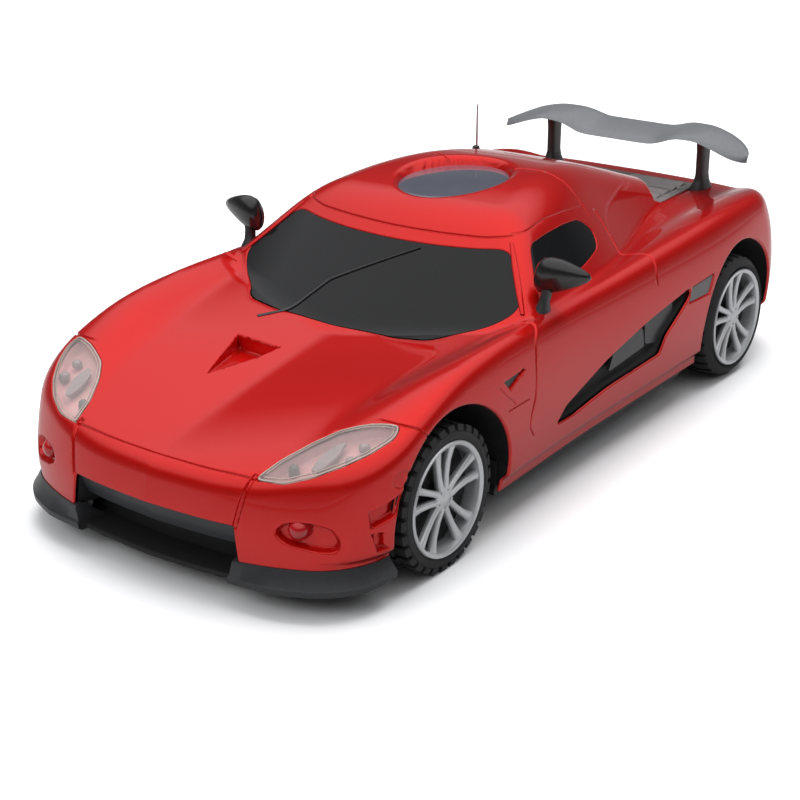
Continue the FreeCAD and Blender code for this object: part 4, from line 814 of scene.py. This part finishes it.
def wing_blade():
    """A thin blade: flat in the middle, humped over the posts, drooped and rounded at the tips."""
    rings = []
    for x in np.linspace(-WING_SPAN, WING_SPAN, 121):
        out = abs(x)
        tip = math.sqrt(max(0.0, 1 - (max(0.0, out - 36.0) / 7.2) ** 2))
        front, back = WING_FRONT + 6.0 * (1 - tip), WING_BACK - 7.0 * (1 - tip) - 0.004 * out * out
        t = np.concatenate([np.linspace(0, 1, 13), np.linspace(1, 0, 13)[1:-1]])
        is_top = np.arange(len(t)) < 13
        chord = front + (back - front) * t
        low, high = bend(out, FRONT_EDGE, 1.1), bend(out, BACK_EDGE, 1.1)
        height = low + (high - low) * t + 0.5 * np.sin(math.pi * t)
        half = 0.5 * WING_THICK * np.sqrt(np.clip(1 - (2 * t - 1) ** 8, 0, 1)) * (0.35 + 0.65 * tip)
        rings.append(np.stack([np.full_like(t, x), chord, height + np.where(is_top, half, -half)], 1))
    p, f = loft(np.array(rings)[:, ::-1])
    return build("wing_sheet", p, f, "chassis", WING, None, ("wing_blade",), True, 40)


wing_blade()
for name, side in SIDES:
    post = [((26.8, 103.0 + lean, z), (half_x, 0, 0), (0, half_y, 0)) for z, half_x, half_y, lean in (
        (44.0, 2.6, 4.6, -0.6), (46.6, 2.5, 4.4, -0.6), (48.4, 1.7, 3.4, -0.2), (50.6, 1.4, 2.8, 0.1),
        (58.0, 1.4, 2.9, 0.4), (61.2, 1.5, 3.3, 0.6), (62.6, 1.7, 3.6, 0.7))]
    pod(f"wing_leg_{name}", post, "chassis", TRIM, ("wing_posts",) if side > 0 else (), side,
        3.4)
    head = [((x, y, z), (0, depth, 0), (0.12 * tall, 0, tall)) for x, y, z, depth, tall in (
        (45.6, -21.2, 57.0, 0.3, 0.8), (45.9, -21.2, 57.0, 2.2, 3.6), (47.0, -21.1, 57.1, 2.9, 4.6),
        (49.0, -20.9, 57.2, 3.2, 4.9), (51.6, -20.5, 57.4, 3.1, 4.4), (54.2, -20.1, 57.6, 2.6, 3.5),
        (57.0, -19.6, 57.8, 1.9, 2.3), (59.0, -19.2, 57.9, 1.1, 1.2), (59.7, -19.0, 57.9, 0.3, 0.3))]
    pod(f"mirror_pod_{name}", head, "chassis", GLOSS, (f"mirror_{name}",), side)
    stalk = [((x, y, z), (half_x, 0, 0), (0, half_y, 0)) for x, y, z, half_x, half_y in (
        (48.2, -23.4, 46.2, 2.2, 3.0), (48.2, -23.2, 48.6, 1.9, 2.5), (48.4, -22.6, 50.4, 1.3, 1.7),
        (48.8, -21.9, 52.6, 1.2, 1.6), (49.2, -21.2, 55.2, 1.5, 1.9))]
    pod(f"mirror_stalk_{name}", stalk, "chassis", TRIM, (), side, 2.6)
    lamp = [((39.4, y, 21.1), (r, 0, 0), (0, 0, r)) for y, r in (
        (-107.6, 2.6), (-110.0, 2.6), (-110.9, 2.4), (-111.7, 1.9), (-112.2, 1.2), (-112.4, 0.3))]
    pod(f"fog_lamp_{name}", lamp, "chassis", RED_LAMP, ("fog_lamps",) if side > 0 else (), side)
    spot = [((33.6, -104.0, z), (r, 0, 0), (0, r, 0)) for z, r in (
        (30.0, 1.3), (32.0, 1.3), (32.8, 1.0), (33.2, 0.6), (33.4, 0.2))]
    pod(f"lamp_spot_{name}", spot, "chassis", LED, ("headlight_leds",) if side > 0 else (), side)


# ---------------- strips that lie on the body
def ring_inlay(name, edge, outer, inner, sink, thick, material, side=None):
    """A band just inside an outline."""
    p, f = slice_at(points, faces, edge(points) + outer)
    p, f = slice_at(p, f, edge(p) + inner)
    depth = edge(p)[f].mean(1)
    keep = (depth < -outer) & (depth > -inner)
    if side is not None:
        keep &= p[f][:, :, 0].mean(1) * side > 0
    p, f = used_only(p, f[keep])
    normal = outward_at(p)
    p, f, n = thick_sheet(p - normal * sink, f, normal, thick)
    return build(name, p, f, "chassis", material, n)


def on_skin(path, lift=0.0):
    """Points moved along the field's slope until they lie on the body, then lifted off it."""
    p = np.array(path, dtype=float)
    for _ in range(12):
        slope = field_slope(body_field, p)
        p = p - slope * (body_field(p) / np.maximum((slope ** 2).sum(1), 1e-6))[:, None] * 0.8
    normal = outward_at(p)
    return p + normal * lift, normal


def strip(name, path, widths, tall, material, side=1, count=40, lift=0.0):
    """A rounded rib laid along a path on the body."""
    knots = np.array(path, dtype=float)
    at_knot = np.linspace(0, 1, len(knots))
    at = np.linspace(0, 1, count)
    track = np.stack([np.interp(at, at_knot, knots[:, i]) for i in range(3)], 1)
    track, normal = on_skin(track, lift)
    along = np.gradient(track, axis=0)
    along /= np.linalg.norm(along, axis=1, keepdims=True)
    across = np.cross(normal, along)
    half = np.interp(at, np.linspace(0, 1, len(widths)), widths)
    stations = list(zip(track, across * half[:, None], normal * tall))
    return pod(name, stations, "chassis", material, (), side)


PILLAR = [(34.0, -15.4, 61.4), (40.3, -22.4, 54.9), (46.0, -28.6, 48.6)]
WIPER = [(-20.5, -52.7, 42.1), (-9.2, -36.1, 49.6), (11.6, -23.9, 58.7)]
OBLONG = Outline("XY", [(38.6, -105.6), (37.6, -100.8), (38.6, -95.6), (40.8, -94.0), (41.9, -99.2),
                        (40.8, -104)], on_top, 1.6)
LAMP_DOTS = ((45.8, -93.6, 36.9, 1.3), (45.6, -98.4, 35.2, 1.4))
BLADES = [Outline("YZ", [(1.8, 24.6), (4.6, 30.0), (19.6, 31.8), (20.4, 26.0)], low_side, 0.3),
          Outline("YZ", [(21.6, 26.2), (21.4, 32.2), (36.6, 34.6), (36.6, 31.2), (27.6, 24.6)], low_side,
                  0.3)]
for name, side in SIDES:
    strip(f"pillar_strip_{name}", PILLAR, (0.5, 0.85, 0.85, 0.6), 0.45, PAINT, side)
    ring_inlay(f"lamp_border_{name}", lamp_edge, 0.12, 0.42, -0.06, 0.3, BORDER, side)
    ring_inlay(f"lamp_inner_border_{name}", lamp_edge, 0.85, 1.05, -0.03, 0.3, BORDER, side)
    inlay(f"lamp_oblong_{name}", OBLONG, 0.0, 1.6, 0.8, LAMP_GREY, (), side)
    for count, (x, y, z, radius) in enumerate(LAMP_DOTS):
        dot = [((x, y, z + lift * radius), (radius * share, 0, 0), (0, radius * share, 0))
               for lift, share in ((-0.8, 1.0), (0.0, 1.0), (0.3, 0.85), (0.5, 0.5), (0.55, 0.15))]
        pod(f"lamp_dot_{count + 1}_{name}", dot, "chassis", LAMP_GREY, (), side)
    for count, edge in enumerate(BLADES):
        inlay(f"intake_blade_{count + 1}_{name}", edge, 0.0, 1.5 + 0.5 * count, 0.8, SCOOP,
              (), side)
    inlay(f"haunch_mesh_{name}", quad_edge, 0.5, 0.42, 0.6, MESH, (), side)
    inlay(f"fender_mesh_{name}", vent_edge, 0.45, 0.8, 0.6, SCOOP, (), side)
strip("wiper", WIPER, (0.6, 0.45, 0.3, 0.2), 0.25, TRIM, 1, 60, 0.05)


def nose_at(x, z, depth):
    """Points a set distance behind the nose's surface, looking along the car."""
    near, far = np.full_like(x, -125.0), np.full_like(x, -85.0)
    for _ in range(24):
        mid = (near + far) / 2
        is_in = body_field(np.stack([x, mid, z], -1)) < 0
        near, far = np.where(is_in, near, mid), np.where(is_in, mid, far)
    return np.stack([x, far + depth, z], -1)


# ---------------- roof panel, engine cover, wheel liners, splitter
def disc_sheet(name, radius_x, radius_y, middle, height, thick, material, replaces=(), dome=0.0):
    """A thin oval plate with a rounded top."""
    stations = [((*middle, z), (radius_x - cut, 0, 0), (0, radius_y - cut, 0)) for z, cut in (
        (height - thick, 0.0), (height - 0.4, 0.0), (height - 0.1, 0.12), (height, 0.45))]
    for k in range(1, 13):
        shrink = 1 - k / 13
        stations.append(((*middle, height + dome * (1 - shrink ** 2)), ((radius_x - 0.45) * shrink, 0, 0),
                         (0, (radius_y - 0.45) * shrink, 0)))
    rings = np.array([oval_ring(*station, count=72) for station in stations])
    p, f = loft(rings)
    return build(name, p, f, "chassis", material, None, replaces, True, 40)


disc_sheet("roof_oval", WELL_HALF_X * 0.94, WELL_HALF_Y * 0.94, (0.0, WELL_MIDDLE), WELL_FLOOR + 1.9, 2.4,
           PANEL, ("roof_panel",), 0.5)


def grid_sheet(name, top, u_values, v_values, thick, material, replaces=(), down=(0, 0, -1), side=1,
               angle=30):
    """A closed sheet over a grid of points given by top(u, v)."""
    u, v = np.meshgrid(u_values, v_values, indexing="ij")
    p = top(u, v).reshape(-1, 3)
    rows, columns = u.shape
    cell = (np.arange(rows - 1)[:, None] * columns + np.arange(columns - 1)).ravel()
    f = np.concatenate([np.stack([cell, cell + columns, cell + columns + 1], 1),
                        np.stack([cell, cell + columns + 1, cell + 1], 1)])
    back = p + np.asarray(down, dtype=float) * thick
    rim = rim_edges(f)
    walls = np.concatenate([np.stack([rim[:, 1], rim[:, 0], rim[:, 0] + len(p)], 1),
                            np.stack([rim[:, 1], rim[:, 0] + len(p), rim[:, 1] + len(p)], 1)])
    f = np.concatenate([f, f[:, ::-1] + len(p), walls])
    p = np.concatenate([p, back]) * [side, 1, 1]
    if side < 0:
        f = f[:, ::-1]
    return build(name, p, f, "chassis", material, None, replaces, True, angle)


LOUVRE_PITCH = 5.2
LINER_INNER_X, LINER_DROP, AXLE_CLEARANCE = 35.0, 2.0, 12.5


def louvres(x, y):
    """The engine cover: a middle rib, then slats that rise to the back."""
    phase = ((y - 71.0) / LOUVRE_PITCH) % 1.0
    within = np.where(np.abs(x) < 21.5, 1, 0) * np.where(y < 103, 1, 0)
    slat = np.where(np.abs(x) > 4.0, 0.8 * phase, 0.9) * within
    return np.stack([x, y, DECK_FLOOR + 0.35 + slat], -1)


slat_x = np.array([-24.2, -21.7, -21.4, -14, -4.2, -3.8, 0, 3.8, 4.2, 14, 21.4, 21.7, 24.2])
slat_y = np.concatenate([[71.0 + LOUVRE_PITCH * k + step for step in (0.0, 1.7, 3.4, LOUVRE_PITCH - 0.05)]
                         for k in range(7)])
slat_y = np.append(slat_y[slat_y < 105.4], 105.4)
# the engine cover's light grey is painted reflection
grid_sheet("engine_louvres", louvres, slat_x, slat_y, 0.9, ENGINE_REFLECTION_GREY, ("engine_cover",))

for end, middle_y, middle_z, radius in ARCHES:
    def band(u, v, middle_y=middle_y, middle_z=middle_z, radius=radius):
        """u runs over the arch, v from the inner rim out to the painted side."""
        y, z = middle_y + (radius + 0.3) * np.cos(u), middle_z + (radius + 0.3) * np.sin(u)
        low, high = np.full_like(y, 40.0), np.full_like(y, 60.0)
        for _ in range(24):
            mid = (low + high) / 2
            is_in = body_field(np.stack([mid, y, z], -1)) < 0
            low, high = np.where(is_in, mid, low), np.where(is_in, high, mid)
        x = LINER_INNER_X + (low - 0.9 - LINER_INNER_X) * v
        capped = np.minimum(z, deck_height(x, y) - LINER_DROP)
        return np.stack([x, y, np.where(v < 0.8, capped, z)], -1)

    def cheek(u, v, middle_y=middle_y, middle_z=middle_z, radius=radius):
        """The inner wall, open round the axle."""
        reach = AXLE_CLEARANCE + (radius + 1.2 - AXLE_CLEARANCE) * v
        x, y, z = np.full_like(u, LINER_INNER_X), middle_y + reach * np.cos(u), middle_z + reach * np.sin(u)
        return np.stack([x, y, np.minimum(z, deck_height(x, y) - LINER_DROP)], -1)

    over = np.linspace(math.radians(-12), math.radians(192), 70)
    for name, side in SIDES:
        grid_sheet(f"arch_liner_{end}_{name}", band, over, np.linspace(1, 0, 8), 0.8, VOID,
                   (), (0, 0, 0.9), side)
        grid_sheet(f"arch_cheek_{end}_{name}", cheek, over, np.linspace(0, 1, 6), 0.8, VOID,
                   (), (-1, 0, 0), side)


def mouth_band(u, v):
    """The plate across the top of the mouth, leaning back as it drops."""
    x, z = u * (25.6 + 0.9 * v), 20.6 - 6.2 * v
    return nose_at(x, z, 0.9 + 3.2 * v)


grid_sheet("mouth_band", mouth_band, np.linspace(-1, 1, 41), np.linspace(1, 0, 5), 0.7, BAND,
           (), (0, 1, 0))


def chin(x):
    """The black sill under the mouth: a front edge, a floor and a back wall, at one station across."""
    profile = ((1.4, 7.4), (0.9, 6.9), (1.1, 6.2), (10.0, 6.0), (10.4, 13.0), (9.4, 13.2), (9.0, 7.6))
    return np.concatenate([nose_at(np.array([x]), np.array([z]), depth) for depth, z in profile])


chin_points, chin_faces = loft(np.array([chin(x) for x in np.linspace(-27.0, 27.0, 41)])[:, ::-1])
build("mouth_chin", chin_points, chin_faces, "chassis", VOID, None, (), True, 25)


def splitter_lip(name, side):
    """A chunky lip from beside the mouth round to the front wheel, flared out at its lower edge."""
    path = np.array([(25.0, -116.9), (31.8, -115.3), (38.6, -112.9), (45.6, -109.0), (50.1, -103.9),
                     (52.3, -98.2), (52.8, -94.9)])
    at = np.linspace(0, 1, 60)
    knots = np.concatenate([[0], np.cumsum(np.linalg.norm(np.diff(path, axis=0), axis=1))])
    track = np.stack([np.interp(at, knots / knots[-1], path[:, i]) for i in range(2)], 1)
    for _ in range(30):
        track[1:-1] = 0.5 * track[1:-1] + 0.25 * (track[:-2] + track[2:])
    seated, _ = on_skin(np.column_stack([track, np.full(len(at), 11.6)]))
    along = np.gradient(seated[:, :2], axis=0)
    along /= np.linalg.norm(along, axis=1, keepdims=True)
    out = np.stack([along[:, 1], -along[:, 0]], 1)
    rings = []
    for share, point, normal in zip(at, seated[:, :2], out):
        flare = 2.6 * min(1.0, 0.35 + share * 2.5)
        rise = 1.2 * max(0.0, share - 0.8) / 0.2
        slant = -1.5 * max(0.0, 1 - share / 0.06)
        profile = ((-1.6, 12.2, 0.0), (0.25, 12.0, 0.0), (0.5, 11.4, 0.0), (flare - 0.5, 8.4 + rise, 0.6),
                   (flare, 7.8 + rise, 0.8), (flare - 0.1, 6.4 + rise, 1.0), (flare - 0.8, 5.9 + rise, 1.0),
                   (-7.0, 5.9, 1.0), (-7.0, 8.0, 0.6))
        rings.append([(*(point + normal * reach + along[0] * slant * lean), z)
                      for reach, z, lean in profile])
    rings = np.array(rings) * [side, 1, 1]
    p, f = loft(rings[:, ::-1] if side > 0 else rings)
    return build(name, p, f, "chassis", TRIM, None, ("front_splitter",) if side > 0 else (),
                 True, 32)


for name, side in SIDES:
    splitter_lip(f"splitter_lip_{name}", side)
whip = [((-17.9 + 0.3 * t, 45.0 + 0.4 * t, 58.0 + 20.4 * t), (0.42 - 0.2 * t, 0, 0), (0, 0.42 - 0.2 * t, 0))
        for t in np.linspace(0, 1, 12)]
pod("aerial", whip, "chassis", WHIP, ("antenna_whip",))
plug = [((-17.9, 45.0, z), (r, 0, 0), (0, r, 0)) for z, r in ((60.0, 1.2), (65.0, 1.2), (65.9, 1.0),
                                                              (66.1, 0.6))]
pod("aerial_plug", plug, "chassis", TRIM, ("antenna_socket",))


# ---------------- wheels
WHEEL_FACE, WHEEL_Y, WHEEL_Z = 55.4, 74.0, 18.2
SPOKES, BLOCKS = 5, 30


def lathe(profile, count=96):
    """A closed ring of section turned about the wheel's axle; the profile holds (depth, radius)."""
    turn = np.linspace(0, 2 * math.pi, count, endpoint=False)
    depth, radius = np.array(profile, dtype=float).T
    p = np.stack([np.broadcast_to(-depth, (count, len(depth))), np.outer(np.cos(turn), radius),
                  np.outer(np.sin(turn), radius)], -1)
    size = len(depth)
    near = np.arange(count * size)
    step = np.where(near % size == size - 1, near - size + 1, near + 1)
    far, far_step = (near + size) % (count * size), (step + size) % (count * size)
    return p.reshape(-1, 3), np.concatenate([np.stack([near, step, far_step], 1),
                                             np.stack([near, far_step, far], 1)])


def turned(p, degrees):
    c, s = math.cos(math.radians(degrees)), math.sin(math.radians(degrees))
    return np.stack([p[:, 0], c * p[:, 1] - s * p[:, 2], s * p[:, 1] + c * p[:, 2]], 1)


def merged(parts):
    """Several closed meshes in one."""
    starts = np.cumsum([0] + [len(p) for p, _ in parts[:-1]])
    return np.concatenate([p for p, _ in parts]), np.concatenate([f + start
                                                                  for (_, f), start in zip(parts, starts)])


def spoke(lean):
    """One of a pair of slim spokes, from the hub out to the rim, leaning away from the pair's middle line."""
    rings = []
    for radius, aside, half, face, back in (
            (1.6, 0.85, 0.8, 1.3, 3.4), (3.4, 1.05, 0.86, 1.3, 3.4), (5.5, 1.4, 0.82, 1.5, 3.4),
            (9.0, 2.0, 0.9, 1.4, 3.2), (11.6, 2.6, 1.1, 1.0, 3.0), (12.4, 2.9, 1.3, 0.8, 2.8),
            (13.3, 3.1, 1.6, 0.8, 2.6)):
        middle = (-(face + back) / 2, radius, lean * aside)
        rings.append(oval_ring(middle, (0, 0, half), ((back - face) / 2, 0, 0), 20, 3.0))
    p, f = loft(np.array(rings))
    return p, f[:, ::-1]


def rim(width):
    """Lip and barrel, five pairs of spokes, hub cap and five small nuts."""
    ring = lathe([(0.5, 13.2), (0.1, 13.7), (0.0, 14.15), (0.35, 14.4), (0.9, 14.3), (1.3, 13.38),
                  (width - 0.5, 13.38), (width - 0.5, 12.9), (2.0, 13.0), (1.1, 13.1)])
    hub = lathe([(0.9, 0.01), (0.95, 1.2), (1.25, 1.7), (1.35, 2.9), (1.7, 3.35), (2.4, 3.4), (2.45, 0.01)],
                48)
    parts = [ring, hub]
    for k in range(SPOKES):
        angle = 90 + 360 * k / SPOKES
        for lean in (-1, 1):
            p, f = spoke(lean)
            parts.append((turned(p, angle), f))
        p, f = lathe([(0.95, 0.01), (1.0, 0.34), (1.5, 0.36), (1.5, 0.01)], 12)
        parts.append((turned(p + [0, 2.35, 0], angle + 180 / SPOKES), f))
    return merged(parts)


def tread_block(face, depth, low, high, half_degrees, at_degrees):
    """One block of tread, following the tyre round."""
    rings = []
    for share in np.linspace(-1, 1, 4):
        angle = math.radians(at_degrees + half_degrees * share)
        out = np.array([0, math.cos(angle), math.sin(angle)])
        section = [(face + 0.5, low), (face, low + 0.5 * (high - low)), (face + 0.45, high),
                   (depth - 0.3, high),
                   (depth, high - 0.3), (depth, low)]
        rings.append([out * radius - [d, 0, 0] for d, radius in section])
    return loft(np.array(rings)[:, ::-1])


def block_tyre(width):
    """A front tyre: rounded walls and three rows of staggered blocks."""
    parts = [lathe([(1.3, 13.42), (0.6, 14.4), (0.15, 15.4), (0.3, 16.4), (1.0, 17.0), (2.2, 17.2),
                    (width - 2.2, 17.2),
                    (width - 1.0, 17.0), (width - 0.3, 16.2), (width - 0.1, 15.0), (width - 0.6, 13.42)])]
    rows = ((0.35, 4.6, 15.9, 0.0), (5.2, 8.4, 16.8, 0.5), (9.0, width - 0.5, 16.4, 0.0))
    for face, depth, low, stagger in rows:
        for k in range(BLOCKS):
            parts.append(tread_block(face, depth, low, 18.18, 3.9, (k + stagger) * 360 / BLOCKS))
    return merged(parts)


for name, side in SIDES:
    for end, axle_y, width, body in (("front", -WHEEL_Y, 13.6, f"wheel_front_{name}"),
                                     ("rear", WHEEL_Y, 15.0, "rear_wheels")):
        at = np.array([WHEEL_FACE, axle_y, WHEEL_Z])
        pieces = [(f"spoked_rim_{end}_{name}", rim(width), SILVER, "rim_silver", (f"rim_{end}_{name}",)),
                  (f"rim_back_{end}_{name}", lathe([(4.4, 2.2), (4.4, 12.5), (5.0, 12.5), (5.0, 2.2)]),
                   VOID, "rim_silver",
                   ())]
        if end == "front":
            pieces.append((f"block_tyre_{name}", block_tyre(width), RUBBER, "tyre", (f"tyre_front_{name}",)))
        for piece, (p, f), material, slot, replaced in pieces:
            p = (p + at) * [side, 1, 1]
            build(piece, p, f if side > 0 else f[:, ::-1], body, material, None, replaced, True, 32)


# ---------------- floor, light and camera
def dim_for_bounces(material, share, gloss):
    """Lets the eye see the pale floor, gloss a part of it, and keeps its bounce light soft."""
    tree = material.node_tree
    surface = tree.nodes["Principled BSDF"]
    tint = surface.inputs["Base Color"].links[0].from_socket
    path = tree.nodes.new("ShaderNodeLightPath")
    weaker = tree.nodes.new("ShaderNodeMix")
    weaker.data_type = "RGBA"
    weaker.inputs[6].default_value = (share, share, share, 1)
    sharp = tree.nodes.new("ShaderNodeMath")
    sharp.operation = "MULTIPLY_ADD"
    sharp.inputs[1].default_value = gloss
    tree.links.new(path.outputs["Is Glossy Ray"], sharp.inputs[0])
    tree.links.new(path.outputs["Is Camera Ray"], sharp.inputs[2])
    tree.links.new(sharp.outputs[0], weaker.inputs[0])
    tree.links.new(tint, weaker.inputs[7])
    tree.links.new(weaker.outputs[2], surface.inputs["Base Color"])


def clear_from_below(material):
    """Lets the floor be seen through from underneath."""
    tree = material.node_tree
    faces_away = tree.nodes.new("ShaderNodeNewGeometry").outputs["Backfacing"]
    mixed = tree.nodes.new("ShaderNodeMixShader")
    tree.links.new(faces_away, mixed.inputs["Fac"])
    tree.links.new(tree.nodes["Principled BSDF"].outputs["BSDF"], mixed.inputs[1])
    tree.links.new(tree.nodes.new("ShaderNodeBsdfTransparent").outputs["BSDF"], mixed.inputs[2])
    tree.links.new(mixed.outputs["Shader"], tree.nodes["Material Output"].inputs["Surface"])


def studio():
    bpy.ops.mesh.primitive_plane_add(size=8.0, location=(0, 0, 0))
    floor = bpy.context.object
    floor.name = "floor"
    floor.data.materials.append(finish("floor_white", (0.86, 0.865, 0.875), (0.88, 0.885, 0.895),
                                       (0.6, 0.7), grain=4.0,
                                       bump=0.0))
    dim_for_bounces(floor.data.materials[0], 0.30, 0.22)
    clear_from_below(floor.data.materials[0])
    world = bpy.data.worlds.new("studio")
    bpy.context.scene.world = world
    world.use_nodes = True
    tree = world.node_tree
    sky = tree.nodes["Background"]
    place = tree.nodes.new("ShaderNodeTexCoord")
    split = tree.nodes.new("ShaderNodeSeparateXYZ")
    tree.links.new(place.outputs["Generated"], split.inputs["Vector"])
    ramp_node = tree.nodes.new("ShaderNodeValToRGB")
    stops = ramp_node.color_ramp
    stops.elements[0].position, stops.elements[0].color = 0.0, (0.55, 0.55, 0.56, 1)
    stops.elements[1].position, stops.elements[1].color = 1.0, (1, 1, 1, 1)
    for position, level in ((0.03, 0.26), (0.18, 0.13), (0.30, 0.06), (0.46, 0.10), (0.62, 0.80)):
        stop = stops.elements.new(position)
        stop.color = (level, level, level * 1.02, 1)
    tree.links.new(split.outputs["Z"], ramp_node.inputs["Fac"])
    seen = tree.nodes.new("ShaderNodeMix")
    seen.data_type = "RGBA"
    seen.inputs[7].default_value = (1, 1, 1, 1)
    tree.links.new(tree.nodes.new("ShaderNodeLightPath").outputs["Is Camera Ray"], seen.inputs[0])
    tree.links.new(ramp_node.outputs["Color"], seen.inputs[6])
    tree.links.new(seen.outputs[2], sky.inputs["Color"])
    for name, place, aim, size, power in (
            ("top", (-0.1, 0.4, 1.1), (0, 0, 0), (1.1, 1.1), 20.0),
            ("front", (-0.2, -1.1, 0.9), (0, 0, 0), (0.9, 0.6), 5.5)):
        light = bpy.data.lights.new(name, "AREA")
        light.shape = "RECTANGLE"
        light.size, light.size_y = size
        light.energy = power
        lamp = bpy.data.objects.new(name, light)
        bpy.context.collection.objects.link(lamp)
        lamp.location = place
        turn = Vector(aim) - Vector(place)
        lamp.rotation_euler = turn.to_track_quat("-Z", "Y").to_euler()
        lamp.visible_glossy = False


def camera():
    """The main view; its pose and lens were fitted to the photo by least squares."""
    azimuth, elevation, roll = math.radians(36.8), math.radians(22.92), math.radians(-1.11)
    distance, target = 515.06, np.array([-10.03, -5.34, 4.12])
    back = np.array([math.sin(azimuth) * math.cos(elevation), -math.cos(azimuth) * math.cos(elevation),
                     math.sin(elevation)])
    right = np.array([math.cos(azimuth), math.sin(azimuth), 0.0])
    up = np.cross(back, right)
    right, up = math.cos(roll) * right + math.sin(roll) * up, -math.sin(roll) * right + math.cos(roll) * up
    eye = (target + back * distance) * MM
    data = bpy.data.cameras.new("camera")
    data.lens, data.sensor_width = 81.24, 36.0
    data.clip_start, data.clip_end = 0.01, 20.0
    made = bpy.data.objects.new("camera", data)
    bpy.context.collection.objects.link(made)
    made.matrix_world = Matrix([[right[i], up[i], back[i], eye[i]] for i in range(3)] + [[0, 0, 0, 1]])
    bpy.context.scene.camera = made


studio()
camera()
bpy.context.scene.view_settings.view_transform = "Standard"
